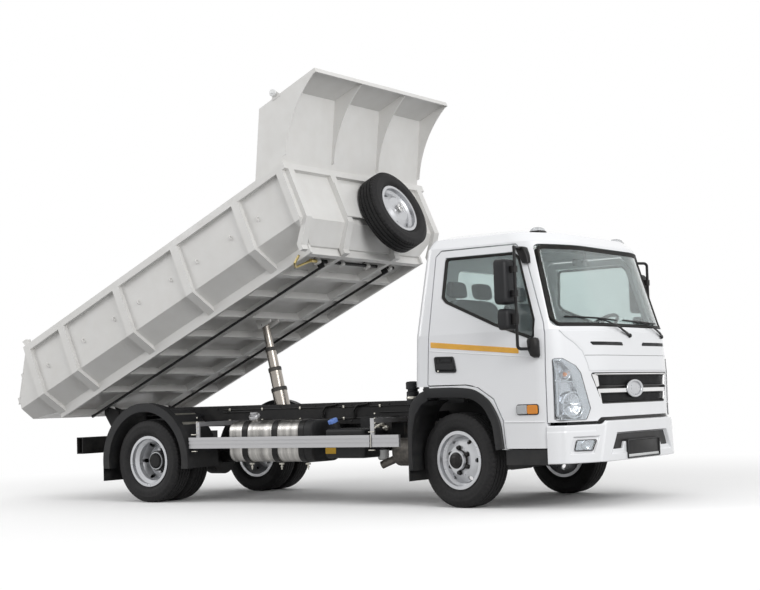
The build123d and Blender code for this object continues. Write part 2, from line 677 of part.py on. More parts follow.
def cab_pieces():
    """The cab's shell, front panel, doors, glass, lamps and grille, all cut from one form."""
    shell = cab_body()
    pieces = {}
    door_wall = cab_layer(0, CAB_WALL)
    door_space = cab_layer(-2, CAB_WALL + DOOR_GAP)
    for name, side in (("left", 1), ("right", -1)):
        door = door_wall & side_opening(DOOR_OUTLINE, side)
        pieces["door_" + name] = door - side_opening(WINDOW_OUTLINE, side)
        shell -= door_space & side_opening(DOOR_OUTLINE, side, DOOR_GAP)
    panel = shell & front_box()
    shell = shell - front_box() - windscreen_opening() - rear_opening()
    lamp_cut = headlamp_prism()
    lamps = both_sides(cab_layer(0, 40) & lamp_cut)
    panel = panel - lamp_cut - mirror(lamp_cut, about=Plane.XZ)
    grille_cut = front_prism(grille_outline(), 1000, 1300, 20)
    panel -= grille_cut
    pieces["cab_shell"] = shell
    pieces["front_panel"] = panel
    pieces["headlamps"] = lamps
    glass = cab_layer(14, 14 + GLASS)
    screen = glass & windscreen_opening()
    rear = glass & rear_opening()
    pieces["cab_glass"] = as_set([screen, rear])
    for name, side in (("left", 1), ("right", -1)):
        pieces["door_glass_" + name] = glass & side_opening(WINDOW_OUTLINE, side)
    pieces["grille"] = grille()
    return pieces


def nose_band(outer, inner, z0, z1):
    """An upright band that follows the nose between two depths and two heights."""
    plan = CAB_SECTIONS[0][1:]
    band = cab_plan(z0, *plan, outer) - cab_plan(z0, *plan, inner)
    return extrude(band, amount=z1 - z0, dir=(0, 0, 1)) & block(900, 1300, -800, 800, z0, z1)


def grille():
    """Grille: back plate, frame and three slats, following the curve of the nose."""
    z1, z0 = grille_outline()[0][1], grille_outline()[2][1]
    cut = front_prism(grille_outline(-FIT_GAP), 1000, 1300, 20)
    hole = front_prism(grille_outline(-GRILLE_FRAME), 1000, 1300, 16)
    plate = nose_band(34, 42, z0, z1) & cut
    frame_band = (nose_band(4, 42, z0, z1) & cut) - hole
    slats = [nose_band(8, 38, z - 12, z + 12) & cut for z in (868, 930, 992)]
    return joined([plate, frame_band, *slats])


def arch_flares():
    """Black flares round the front wheel arches: a band on the cab's side and a lip turned into the arch."""
    arch = ARCH_OUTLINE[1:-1]
    outer = [(467, 478), (463, 505), (438, 700), (344, 866), (202, 958), (0, 974), (-245, 974)]
    edge = [(x - FLARE_LIP, z - 0.4 * FLARE_LIP) for x, z in arch[:4]]
    edge += [(0, 950 - FLARE_LIP), (-245, 950 - FLARE_LIP)]
    mouth = [(x - FIT_GAP, z - FIT_GAP) for x, z in arch[:4]] + [(0, 950 - FIT_GAP), (-245, 950 - FIT_GAP)]
    foot = [(edge[0][0], 478)]
    side = CAB_SECTIONS[0][4] + FIT_GAP / 2
    band = side_prism(outer + list(reversed(edge)) + foot, side, side + FLARE_DEPTH)
    lip = side_prism([(mouth[0][0], 478)] + mouth + list(reversed(edge)) + foot,
                     side - 50, side + FLARE_DEPTH)
    return both_sides(joined([band, lip]))


def bumper():
    """Front bumper wrapped round the corners, with its lower opening and fog lamp pockets."""
    z0, z1 = BUMPER_BOTTOM, BUMPER_TOP

    def wrap(inset):
        section = cab_plan(z0, 300, 935, BUMPER_FRONT, 1040, 620, inset)
        return extrude(section, amount=z1 - z0)
    shell = wrap(0) - wrap(BUMPER_WALL)
    shell &= block(845, 1300, -1200, 1200, z0, z1)
    recess = front_prism([(-443, 560), (443, 560), (400, 400), (-400, 400)], BUMPER_FRONT - 20, 1300, 20)
    pocket = front_prism([(-1100, 565), (-745, 565), (-695, 449), (-1100, 449)], 700, 1300, 14)
    pockets = (wrap(0) - wrap(POCKET_DEPTH)) & joined([pocket, mirror(pocket, about=Plane.XZ)])
    return shell - recess - pockets


def bumper_fittings():
    """What the bumper carries: blank number plate, fog lamps and brackets to the frame."""
    plate = block(BUMPER_FRONT - 20, BUMPER_FRONT - 2, -265, 265, 400, 512)
    y = RAIL_OUTER_Y + 5
    arms = [block(RAIL_FRONT_X - 60, 1110, side * y - 5, side * y + 5, 570, 640) for side in (-1, 1)]
    feet = [block(RAIL_FRONT_X - 60, RAIL_FRONT_X - 5, side * y - 5, side * y + 5, 570, RAIL_BOTTOM + 60)
            for side in (-1, 1)]
    return plate, arms + feet


def cab_steps():
    """Step panels below the doors, ahead of the front wheels, on arms from the frame."""
    panel = block(470, 838, 900, 1022, 350, 468)
    well = block(500, 820, 880, 1010, 372, 440)
    arm = block(620, 700, RAIL_OUTER_Y, 902, 420, 450)
    hanger = block(620, 700, RAIL_OUTER_Y, RAIL_OUTER_Y + 10, 420, RAIL_BOTTOM + 60)
    tread = block(470, 838, 900, 1010, 395, 405)
    return both_sides(joined([panel - well, tread, arm, hanger]))


def wheel_place():
    """Carries the steering wheel from the Z axis to its column."""
    return Pos(560, 450, 1430) * Rot(0, -38, 0)


def dashboard():
    """Dashboard with its instrument hood on the driver's side."""
    body = side_prism([(700, 1130), (690, 1360), (760, 1400), (905, 1385), (960, 1290), (960, 1050),
                       (800, 1050)], -880, 880, 20)
    hood = side_prism([(650, 1380), (700, 1450), (820, 1460), (860, 1385)], 250, 640, 10)
    room = extrude(cab_plan(1000, *CAB_SECTIONS[2][1:], CAB_WALL + 20), amount=600, dir=(0, 0, 1))
    return (joined([body, hood]) & room) - steering_column()


def steering_column():
    """Column from the steering wheel into the dashboard."""
    return wheel_place() * Pos(0, 0, -140) * Cylinder(28, 280)


def steering_wheel():
    """Steering wheel with three spokes on its column."""
    ring = Torus(205, 15)
    hub_disc = Cylinder(55, 40)
    spokes = [Rot(0, 0, angle) * Pos(110, 0, 0) * Box(190, 34, 12) for angle in (90, 210, 330)]
    return joined([wheel_place() * piece for piece in (ring, hub_disc, *spokes)] + [steering_column()])


def seats():
    """Driver's seat and a two-place passenger bench, each with cushion and back."""
    pieces = []
    for y0, y1 in ((180, 700), (-760, 60)):
        cushion = fillet(block(-180, 330, y0, y1, 1037, 1230).edges(), 40)
        back = side_prism([(-180, 1180), (-80, 1180), (-165, 1720), (-240, 1720)], y0, y1, 30)
        pieces.append(joined([cushion, back]))
    return as_set(pieces)


def mirror_set(side):
    """Mirror arm with main and wide-angle heads, carried by the door."""
    y = 1190.0
    bar = [rod((705, y, 1260), (705, y, 2010), 12)]
    bar.append(rod((705, y, 2000), (640, 972, 2040), 12))
    bar.append(rod((705, y, 1270), (770, 1040, 1255), 12))
    main = fillet(block(565, 665, y - 105, y + 90, 1600, 1950).edges(), 24)
    wide = fillet(block(580, 665, y - 90, y + 75, 1400, 1565).edges(), 24)
    links = [block(655, 712, y - 10, y + 10, z - 10, z + 10) for z in (1680, 1870, 1480)]
    close = fillet(block(745, 815, 1033, 1123, 1180, 1330).edges(), 18)
    whole = joined([*bar, main, wide, *links, close])
    return whole if side > 0 else mirror(whole, about=Plane.XZ)


def roof_lamps():
    """Marker lamps at the roof's front corners."""
    lamp = fillet(block(600, 700, 640, 760, 2160, 2232).edges().filter_by(Axis.Z), 16)
    return both_sides(lamp - cab_form())


# ---------------------------------------------------------------- steering
def knuckle():
    """Left knuckle: fork round the beam's eye, stub axle and steering arm, pointing straight ahead."""
    y = KINGPIN_Y
    fork = block(-38, 38, y - 38, y + 62, AXLE_Z - 92, AXLE_Z + 80)
    slot = block(-60, 60, y - 80, y + 50, AXLE_Z - 42 - 3, AXLE_Z + 30 + 3)
    stub = disc_y(0, y + 50, FRONT_WHEEL_Y + 30, AXLE_Z, 34)
    arm = block(-STEER_ARM_LENGTH - 20, 30, y - 15, y + 15, STEER_ARM_Z - 14, STEER_ARM_Z + 16)
    bore = rod((0, y, 0), (0, y, 700), KINGPIN_RADIUS + 0.05)
    return joined([fork - slot, stub, arm]) - bore


def knuckle_at(side):
    """One knuckle, turned to where the wheels stand."""
    left = knuckle()
    plain = left if side > 0 else mirror(left, about=Plane.XZ)
    turn = Pos(0, side * KINGPIN_Y, 0) * Rot(0, 0, STEER_REST) * Pos(0, -side * KINGPIN_Y, 0)
    return turn * plain


def steer_arm_point(side):
    """Centre of the tie rod's ball joint on one knuckle."""
    angle = radians(STEER_REST)
    return (-STEER_ARM_LENGTH * cos(angle), side * KINGPIN_Y - STEER_ARM_LENGTH * sin(angle),
            STEER_ARM_Z - 34)


def tie_rod():
    """Bar that links both steering arms from below."""
    left = steer_arm_point(1)
    right = steer_arm_point(-1)
    bar = rod(right, left, TIE_ROD_RADIUS)
    ends = [rod((x, y, z - 18), (x, y, z + 17), 17) for x, y, z in (left, right)]
    return joined([bar, *ends])


# ---------------------------------------------------------------- bed
def bed_section(grow=0.0):
    """Cross-section of the bed's tub in Y and Z: flat floor, sloped lower sides, upright sides."""
    half = BED_SIDE_HALF
    points = [(-BED_FLOOR_HALF, BED_FLOOR_Z), (-half, BED_KNEE_Z), (-half, BED_HEIGHT), (half, BED_HEIGHT),
              (half, BED_KNEE_Z), (BED_FLOOR_HALF, BED_FLOOR_Z)]
    return offset(outline(points), amount=grow, kind=Kind.INTERSECTION) if grow else outline(points)


def bed_profile(grow=0.0):
    """Side view of the bed's tub in X and Z, from the upswept tail to the front wall's knee."""
    points = [
        (0, BED_FLOOR_Z), (BED_LENGTH, BED_FLOOR_Z), (BED_TOP_LENGTH, BED_KNEE_Z),
        (BED_TOP_LENGTH, BED_HEIGHT),
        (20, BED_HEIGHT), (-BED_TAIL + 20, BED_TAIL_KNEE_Z), (-BED_TAIL, BED_TAIL_FOOT_Z),
    ]
    return offset(outline(points), amount=grow, kind=Kind.INTERSECTION) if grow else outline(points)


def bed_form(grow=0.0):
    """Solid that the tub's outer or inner faces bound: both views carried through each other."""
    across = Plane(origin=(-1000, 0, 0), x_dir=(0, 1, 0), z_dir=(1, 0, 0))
    along = Plane(origin=(0, -1500, 0), x_dir=(1, 0, 0), z_dir=(0, -1, 0))
    prism_x = extrude(across * bed_section(grow), amount=6000)
    prism_y = extrude(along * bed_profile(grow), amount=-3000)
    return prism_x & prism_y


def bed_tub():
    """Floor, side walls and front wall of the bed, open at the top and at the tail."""
    inside = bed_form(-BED_WALL)
    top = block(-1000, BED_TOP_LENGTH - BED_WALL, -BED_SIDE_HALF + BED_WALL, BED_SIDE_HALF - BED_WALL,
                BED_HEIGHT - 3 * BED_WALL, BED_HEIGHT + 100)
    slope = side_prism([
        (20, BED_HEIGHT + 50), (-BED_TAIL + 20, BED_TAIL_KNEE_Z), (-BED_TAIL, BED_TAIL_FOOT_Z + BED_WALL),
        (-BED_TAIL - 200, BED_TAIL_FOOT_Z + BED_WALL), (-BED_TAIL - 200, BED_HEIGHT + 50),
    ], -BED_SIDE_HALF + BED_WALL, BED_SIDE_HALF - BED_WALL)
    tail = side_prism([
        (60, BED_HEIGHT - BED_WALL), (60, 120), (-BED_TAIL - 30, BED_TAIL_FOOT_Z + BED_WALL + 12),
        (-BED_TAIL - 30, BED_TAIL_KNEE_Z), (0, BED_HEIGHT - BED_WALL),
    ], -BED_SIDE_HALF + BED_WALL, BED_SIDE_HALF - BED_WALL)
    tail_form = front_section_prism(-BED_WALL)
    return bed_form() - inside - top - (slope & tail_form) - (tail & tail_form)


def front_section_prism(grow):
    """The bed's cross-section carried through its whole length."""
    across = Plane(origin=(-1000, 0, 0), x_dir=(0, 1, 0), z_dir=(1, 0, 0))
    return extrude(across * bed_section(grow), amount=6000)


def rib(x, width):
    """Channel-like rib round one side of the tub, from the floor's edge to the top rail."""
    grown = bed_section(RIB_DEPTH)
    plane = Plane(origin=(x, 0, 0), x_dir=(0, 1, 0), z_dir=(1, 0, 0))
    band = extrude(plane * (grown - bed_section()), amount=width)
    band -= block(x - 1, x + width + 1, -BED_FLOOR_HALF + 10, BED_FLOOR_HALF - 10, -200, BED_HEIGHT + 200)
    band -= block(x - 1, x + width + 1, -1500, 1500, BED_HEIGHT, BED_HEIGHT + 300)
    return band


def bed_ribs():
    """Side ribs, top rails, edge rails and the front wall's uprights."""
    pieces = [rib(x, RIB_WIDTH) for x in RIB_X]
    pieces.append(rib(BED_TOP_LENGTH - 70, 70) & bed_profile_prism(0))
    side = BED_SIDE_HALF
    for sign in (-1, 1):
        rail_y = sorted((sign * side, sign * (side + RIB_DEPTH)))
        pieces.append(block(20, BED_TOP_LENGTH + RIB_DEPTH, *rail_y, BED_HEIGHT - TOP_RAIL_HEIGHT,
                            BED_HEIGHT))
        edge_y = sorted((sign * (BED_FLOOR_HALF - 4), sign * (BED_FLOOR_HALF + 26)))
        pieces.append(block(0, BED_LENGTH, *edge_y, 0, BED_FLOOR_Z + 20))
    pieces.append(block(BED_TOP_LENGTH, BED_TOP_LENGTH + RIB_DEPTH, -side, side,
                        BED_HEIGHT - TOP_RAIL_HEIGHT, BED_HEIGHT))
    for y in (-side + 45, -400, 400, side - 45):
        pieces.append(front_rib(y))
    return pieces


def bed_profile_prism(grow):
    """The bed's side view carried through its whole width."""
    along = Plane(origin=(0, -1500, 0), x_dir=(1, 0, 0), z_dir=(0, -1, 0))
    return extrude(along * bed_profile(grow), amount=-3000)


def front_rib(y):
    """Upright on the bed's front wall, following its knee."""
    points = [
        (BED_LENGTH, 0), (BED_LENGTH, BED_FLOOR_Z), (BED_TOP_LENGTH, BED_KNEE_Z),
        (BED_TOP_LENGTH, BED_HEIGHT),
        (BED_TOP_LENGTH + RIB_DEPTH, BED_HEIGHT), (BED_TOP_LENGTH + RIB_DEPTH, BED_KNEE_Z - 12),
        (BED_LENGTH + RIB_DEPTH, BED_FLOOR_Z - 30), (BED_LENGTH + RIB_DEPTH, 0),
    ]
    return side_prism(points, y - 40, y + 40)


def bed_under():
    """Sills, cross members, hinge eyes and the hoist's upper ears."""
    pieces = []
    for sign in (-1, 1):
        y = sign * SILL_Y
        pieces.append(block(0, BED_LENGTH, y - SILL_WIDTH / 2, y + SILL_WIDTH / 2, 0, BED_FLOOR_Z))
        eye = disc_y(HINGE_ON_BED[0], y - SILL_WIDTH / 2, y + SILL_WIDTH / 2, HINGE_ON_BED[1], 42)
        neck = block(HINGE_ON_BED[0] - 42, HINGE_ON_BED[0] + 42, y - SILL_WIDTH / 2, y + SILL_WIDTH / 2,
                     HINGE_ON_BED[1], 20)
        pieces += [eye, neck]
    for x in CROSS_X:
        pieces.append(block(x - CROSS_WIDTH / 2, x + CROSS_WIDTH / 2, -BED_FLOOR_HALF, BED_FLOOR_HALF, 0,
                            BED_FLOOR_Z))
    eye_x, eye_z = HOIST_EYE_ON_BED
    for sign in (-1, 1):
        y = sign * (HOIST_EYE_HALF + 28)
        pieces.append(block(eye_x - 45, 2220, y - 7, y + 7, eye_z - HOIST_EYE_RADIUS, BED_FLOOR_Z))
    pin_bore = disc_y(eye_x, -80, 80, eye_z, HOIST_PIN_RADIUS)
    hinge_bore = disc_y(HINGE_ON_BED[0], -RAIL_OUTER_Y, RAIL_OUTER_Y, HINGE_ON_BED[1], HINGE_RADIUS + 0.05)
    release_bore = disc_y(RELEASE_X, -640, 640, RELEASE_Z, RELEASE_RADIUS + FIT_GAP)
    return joined(pieces) - pin_bore - hinge_bore - release_bore


def bed_frame():
    """Everything welded round the tub: ribs, rails, sills and cross members."""
    return joined([bed_under(), *bed_ribs(), *gate_hinges()]) - bed_form()


def headboard():
    """Leaning headboard with wings along the sides, and the canopy with its gussets."""
    x0, z0 = BED_TOP_LENGTH, BED_HEIGHT
    x1, z1 = x0 + HEADBOARD_LEAN, z0 + HEADBOARD_RISE
    tip = x1 + CANOPY_REACH
    side = BED_SIDE_HALF
    panel = side_prism([(x0, z0), (x0 + SHEET, z0), (x1 + SHEET, z1), (x1, z1)], -side, side)
    canopy = block(x1, tip, -side, side, z1 - SHEET, z1)
    lip = block(tip - SHEET, tip, -side, side, z1 - 40, z1)
    edge = side_prism([(x1 + 4, z1), (tip, z1), (tip, z1 - 40), (x1 - 14, z1 - 40)], -side, -side + SHEET)
    pieces = [panel, canopy, lip, edge, mirror(edge, about=Plane.XZ)]
    wing = side_prism([(x0 - WING_LENGTH, z0), (x0 + SHEET, z0), (x1 + SHEET, z1), (x1 - WING_LENGTH, z1)],
                      -side, -side + SHEET)
    pieces += [wing, mirror(wing, about=Plane.XZ)]
    for y in (-side + SHEET / 2, -350, 350, side - SHEET / 2):
        pieces.append(gusset(x1, z1, tip, y))
    return joined(pieces)


def gusset(x1, z1, tip, y):
    """Curved web between the headboard and the canopy."""
    lean = HEADBOARD_LEAN / HEADBOARD_RISE
    low = (x1 - 0.9 * lean * HEADBOARD_RISE, z1 - 0.9 * HEADBOARD_RISE)
    top = (x1, z1)
    end = (tip - 2, z1)
    end_low = (tip - 2, z1 - 30)
    low_out = (low[0] + 40, low[1])
    face = make_face([
        Line(top, end), Line(end, end_low),
        ThreePointArc(end_low, (x1 + 95, z1 - 150), low_out),
        Line(low_out, low), Line(low, top),
    ])
    plane = Plane(origin=(0, y - SHEET / 2, 0), x_dir=(1, 0, 0), z_dir=(0, -1, 0))
    return extrude(plane * face, amount=-SHEET)


def spare_place():
    """Carries a wheel from the Y axis to the spare's place on the bed's front wall."""
    return Pos(SPARE_X, SPARE_Y, SPARE_Z) * Rot(0, 0, -90)


def spare_carrier():
    """Carrier plate and clamp stud that hold the spare wheel to the front wall."""
    face = BED_TOP_LENGTH + RIB_DEPTH
    plate = block(face, face + CARRIER_PLATE, -440, 440, 290, 640)
    stud = rod((face, SPARE_Y, SPARE_Z), (SPARE_X + 110, SPARE_Y, SPARE_Z), 15)
    boss = rod((face, SPARE_Y, SPARE_Z), (SPARE_X + 59, SPARE_Y, SPARE_Z), 60)
    nut = rod((SPARE_X + 73, SPARE_Y, SPARE_Z), (SPARE_X + 95, SPARE_Y, SPARE_Z), 34)
    return joined([plate, stud, boss, nut])


def gate_release():
    """Cross shaft with its hand lever at the front, and the two rods that run back to the latches."""
    x, z = RELEASE_X, RELEASE_Z
    low = -14.0
    pieces = [disc_y(x, -640, 640, z, RELEASE_RADIUS)]
    for y in (-560, -200, 200, 560):
        pieces.append(block(x - 26, x + 26, y - 14, y + 14, z - 26, BED_FLOOR_Z))
    for y in (-RELEASE_ROD_Y, RELEASE_ROD_Y):
        pieces.append(block(x - 50, x + 14, y - 9, y + 9, low - 12, z + 10))
        pieces.append(rod((x - 40, y, low), (60, y, low), 12))
        pieces.append(block(30, 70, y - 10, y + 10, low - 12, -1))
    lever = [(x, -640, z), (x - 60, -830, low), (x, -912, low), (x + 79, -918, 26)]
    pieces += [rod(start, end, 10) for start, end in zip(lever, lever[1:])]
    return joined(pieces)


def tailgate():
    """Tailgate: sheet hung from the top, cranked to the upswept tail, with frame bars and hinge arms."""
    inner = BED_SIDE_HALF - BED_WALL - RUN_GAP
    top = (10.0, BED_HEIGHT - 10)
    knee = (-BED_TAIL + 14, BED_TAIL_KNEE_Z)
    foot = (-BED_TAIL - 4, BED_TAIL_FOOT_Z + BED_WALL + RUN_GAP)
    sheet = side_prism([top, knee, foot, (foot[0] - 8, foot[1]), (knee[0] - 9, knee[1] + 4),
                        (top[0] - 10, top[1])], -inner, inner)
    sheet &= front_section_prism(-BED_WALL - RUN_GAP)
    bars = []
    for share in (0.04, 0.5, 0.94):
        x = top[0] + (knee[0] - top[0]) * share - 10
        z = top[1] + (knee[1] - top[1]) * share
        bars.append(block(x - 34, x + 2, -inner, inner, z - 30, z + 30))
    for y in (-inner + 30, -350, 350, inner - 30):
        bars.append(side_prism([top, knee, (knee[0] - 44, knee[1]), (top[0] - 44, top[1])], y - 25, y + 25))
    gate = joined([sheet, *bars])
    for sign in (-1, 1):
        y = sign * (inner - 30)
        x, z = GATE_PIVOT
        arm = side_prism([
            (x - 26, z + 24), (x + 26, z + 24), (x + 20, z - 30),
            (-30, BED_HEIGHT - 90), (-70, BED_HEIGHT - 90),
        ], y - 12, y + 12)
        gate = gate.fuse(arm)
        gate -= disc_y(x, y - 40, y + 40, z, GATE_PIN_RADIUS + 0.05)
    return gate


def gate_hinges():
    """Ears on the bed's rear corners with the pins the tailgate hangs on."""
    x, z = GATE_PIVOT
    pieces = []
    for sign in (-1, 1):
        outer = sign * (BED_SIDE_HALF + 10)
        y0, y1 = sorted((outer, outer - sign * 22))
        pieces.append(side_prism([
            (x - 30, z + 24), (x + 30, z + 24), (x + 70, BED_HEIGHT - 30), (x + 14, BED_HEIGHT - 30),
        ], y0, y1))
        pin_end = sign * (BED_SIDE_HALF - 60)
        a, b = sorted((outer, pin_end))
        pieces.append(disc_y(x, a, b, z, GATE_PIN_RADIUS))
    return pieces


# ---------------------------------------------------------------- hoist
def hoist_axis(tilt):
    """Unit vector from the hoist's trunnions to its upper eye at a bed tilt, and their distance."""
    angle = radians(tilt)
    dx = HOIST_EYE_ON_BED[0] - HINGE_ON_BED[0]
    dz = HOIST_EYE_ON_BED[1] - HINGE_ON_BED[1]
    x = HINGE_X + dx * cos(angle) - dz * sin(angle) - HOIST_X
    z = HINGE_Z + dx * sin(angle) + dz * cos(angle) - HOIST_Z
    length = hypot(x, z)
    return x / length, z / length, length


def on_hoist(distance):
    """A point on the hoist's axis, measured from its trunnions."""
    ux, uz, _ = hoist_axis(BED_TILT)
    return (HOIST_X + ux * distance, 0, HOIST_Z + uz * distance)


def hoist_tube(foot, top, radius):
    """One open-topped tube of the hoist between two distances from the trunnions."""
    bore = rod(on_hoist(foot + HOIST_WALL), on_hoist(top + 1), radius - HOIST_WALL)
    return rod(on_hoist(foot), on_hoist(top), radius) - bore


def hoist_pieces():
    """Barrel on its trunnions, tubular stages and the rod with its eye, each pulled out alike."""
    stages = len(HOIST_RADII) - 1
    closed = hoist_axis(0)[2]
    length = hoist_axis(BED_TILT)[2]
    pull = (length - closed) / stages
    low = HOIST_BOTTOM - HOIST_Z
    first_top = closed - HOIST_EYE_RADIUS - HOIST_STEP * stages
    trunnions = [disc_y(HOIST_X, s * (HOIST_RADII[0] - 4), s * (HOIST_RADII[0] + 60), HOIST_Z,
                        TRUNNION_RADIUS)
                 for s in (-1, 1)]
    pieces = {"hoist_barrel": joined([hoist_tube(low, first_top, HOIST_RADII[0]), *trunnions])}
    for index in range(1, stages):
        foot = low + index * (HOIST_WALL + RUN_GAP / 2) + index * pull
        top = first_top + index * HOIST_STEP + index * pull
        pieces["hoist_stage_%d" % index] = hoist_tube(foot, top, HOIST_RADII[index])
    foot = low + stages * (HOIST_WALL + RUN_GAP / 2) + stages * pull
    eye = disc_y(0, -HOIST_EYE_HALF, HOIST_EYE_HALF, 0, HOIST_EYE_RADIUS)
    eye -= disc_y(0, -60, 60, 0, HOIST_PIN_RADIUS)
    shank = rod(on_hoist(foot), on_hoist(length - HOIST_PIN_RADIUS - 4), HOIST_RADII[-1])
    pieces["hoist_rod"] = joined([shank, Pos(*on_hoist(length)) * eye])
    return pieces


# ---------------------------------------------------------------- all sub-parts
def build():
    """Every sub-part by name, in the working frame."""
    parts = {
        "frame": frame(), "front_axle": front_axle(), "springs": springs(), "rear_axle": rear_axle(),
        "propeller_shaft": propeller_shaft(), "engine": engine(), "radiator": radiator(),
        "fuel_tank": fuel_tank(), "urea_tank": urea_tank(), "battery_box": battery_box(),
        "air_tanks": air_tanks(), "exhaust": exhaust(), "side_guards": side_guards(),
        "mudguards": mudguards(), "underrun_bar": underrun_bar(), "tail_lamps": tail_lamps(),
        "air_intake": air_intake(), "cab_steps": cab_steps(), "arch_flares": arch_flares(),
        "dashboard": dashboard(), "steering_wheel": steering_wheel(), "seats": seats(),
        "roof_lamps": roof_lamps(), "tie_rod": tie_rod(),
    }
    plate, arms = bumper_fittings()
    parts["front_bumper"] = joined([bumper(), *arms])
    parts["number_plate"] = plate
    parts.update(cab_pieces())
    for name, side in (("left", 1), ("right", -1)):
        parts["mirror_" + name] = mirror_set(side)
        parts["knuckle_" + name] = knuckle_at(side)
        parts["front_rim_" + name] = front_wheel_place(side) * front_rim()
        parts["front_tyre_" + name] = front_wheel_place(side) * tyre()
        flip = Rot(0, 0, 0) if side > 0 else Rot(0, 0, 180)
        twin = Pos(REAR_AXLE_X, side * (REAR_OUTER_Y - TWIN_SPACING / 2), AXLE_Z) * flip
        parts["rear_rims_" + name] = twin * rear_rims()
        parts["rear_tyres_" + name] = as_set([twin * Pos(0, y, 0) * tyre()
                                              for y in (-TWIN_SPACING / 2, TWIN_SPACING / 2)])
    place = bed_place()
    parts["bed_tub"] = place * bed_tub()
    parts["bed_frame"] = place * bed_frame()
    parts["headboard"] = place * headboard()
    parts["gate_release"] = place * gate_release()
    parts["spare_carrier"] = place * spare_carrier()
    parts["spare_tyre"] = place * spare_place() * tyre()
    parts["spare_rim"] = place * spare_place() * rim(20, 60)
    parts["tailgate"] = place * tailgate()
    parts.update(hoist_pieces())
    return parts


def to_origin(parts):
    """Moves every sub-part so that the origin is on the ground, in the middle of the length."""
    box = Compound(children=[solid for shape in parts.values() for solid in shape.solids()]).bounding_box()
    shift = Pos(-(box.min.X + box.max.X) / 2, 0, 0)
    return {name: shift * shape for name, shape in parts.items()}


def main():
    """Writes one STEP file for each sub-part."""
    os.makedirs("parts", exist_ok=True)
    for name, shape in to_origin(build()).items():
        export_step(shape, "parts/%s.step" % name)


if __name__ == "__main__":
    main()
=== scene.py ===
"""Tipper truck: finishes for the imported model's nodes, and the detail pieces that ride on its bodies."""
import json
import math

import bmesh
import bpy
import numpy as np
from mathutils import Matrix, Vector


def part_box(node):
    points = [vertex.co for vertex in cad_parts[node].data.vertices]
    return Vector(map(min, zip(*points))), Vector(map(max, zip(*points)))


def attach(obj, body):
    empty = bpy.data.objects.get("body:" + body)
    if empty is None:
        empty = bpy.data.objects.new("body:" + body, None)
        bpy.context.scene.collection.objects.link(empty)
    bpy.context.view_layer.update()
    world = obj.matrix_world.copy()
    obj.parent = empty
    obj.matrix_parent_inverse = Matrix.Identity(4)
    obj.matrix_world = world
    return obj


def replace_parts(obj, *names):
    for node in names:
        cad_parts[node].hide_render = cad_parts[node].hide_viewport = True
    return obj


bl_info = {
    "name": "Tipper truck detail",
    "version": (1, 0, 0),
    "blender": (4, 5, 0),
    "location": "3D View > Sidebar > Tipper",
    "description": "Finishes and detail pieces for a light tipper truck",
    "category": "Object",
}

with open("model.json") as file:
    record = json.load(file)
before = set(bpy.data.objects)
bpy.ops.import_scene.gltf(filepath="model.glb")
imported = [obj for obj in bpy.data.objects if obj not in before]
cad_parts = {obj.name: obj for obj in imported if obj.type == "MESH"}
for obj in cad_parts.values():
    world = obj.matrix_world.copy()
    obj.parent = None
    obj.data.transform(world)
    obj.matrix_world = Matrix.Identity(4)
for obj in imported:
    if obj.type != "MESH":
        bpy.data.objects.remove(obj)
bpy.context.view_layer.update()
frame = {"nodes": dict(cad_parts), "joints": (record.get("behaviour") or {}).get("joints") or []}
JOINTS = {joint["name"]: joint for joint in frame["joints"]}

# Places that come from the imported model, in metres. Lengths along the truck count from the front axle.
AXLE_X, KINGPIN_Y, AXLE_Z = JOINTS["steer_left"]["pos_m"]
BED_HINGE = np.array(JOINTS["bed_tilt"]["pos_m"])
HINGE_ON_BED = (0.188, -0.013)
BED_TILT = math.radians(23.5)
REAR_AXLE_X = -3.44
CAB_SECTIONS = np.array((
    # height, side's front x, front x, half width, half width of the flat front
    (0.470, 0.925, 1.108, 1.032, 0.600),
    (1.060, 0.925, 1.108, 1.032, 0.600),
    (1.400, 0.890, 1.092, 1.032, 0.590),
    (2.110, 0.700, 0.880, 0.955, 0.560),
    (2.185, 0.640, 0.800, 0.905, 0.530),
    (2.222, 0.500, 0.640, 0.760, 0.450),
))
BUMPER_PLAN = (0.935, 1.150, 1.040, 0.620)
SIDE_RADIUS = 0.240
NOSE_RADIUS = 0.700
SIDE_WINDOW = (
    (-0.070, 2.030), (0.575, 2.030), (0.625, 1.985), (0.770, 1.480), (0.765, 1.345), (0.735, 1.325),
    (0.394, 1.450), (-0.060, 1.655), (-0.100, 1.700),
)
WINDSCREEN = ((-0.975, 1.420), (0.975, 1.420), (0.900, 2.085), (-0.900, 2.085))
GRILLE = ((-0.700, 1.054), (0.700, 1.054), (0.575, 0.806), (-0.575, 0.806))
HEADLAMP = (
    (-0.992, 1.164), (-0.955, 1.150), (-0.885, 1.085), (-0.780, 0.790), (-0.800, 0.695), (-0.992, 0.695)
)
HEADLAMP_LENS = (
    (-0.992, 1.172), (-0.940, 1.172), (-0.827, 1.112), (-0.785, 1.052), (-0.707, 0.774), (-0.750, 0.686),
    (-0.992, 0.688)
)
PLATE_HEIGHT = 0.440
COVER_ROLLER = (3.840, 1.400)

# Ways that a piece worked out flat can face: where its first, second and third axes point in the model.
UPRIGHT = ((1, 0, 0), (0, 1, 0), (0, 0, 1))
FACING_RIGHT = ((1, 0, 0), (0, 0, 1), (0, -1, 0))
FACING_LEFT = ((1, 0, 0), (0, 0, 1), (0, 1, 0))
FACING_FRONT = ((0, 1, 0), (0, 0, 1), (1, 0, 0))
FACING_REAR = ((0, 1, 0), (0, 0, 1), (-1, 0, 0))


# ---------------------------------------------------------------- surfaces worked out as arrays
def truck(points):
    """Moves points whose x counts from the front axle into the model's frame."""
    return np.asarray(points, float) + (AXLE_X, 0.0, 0.0)


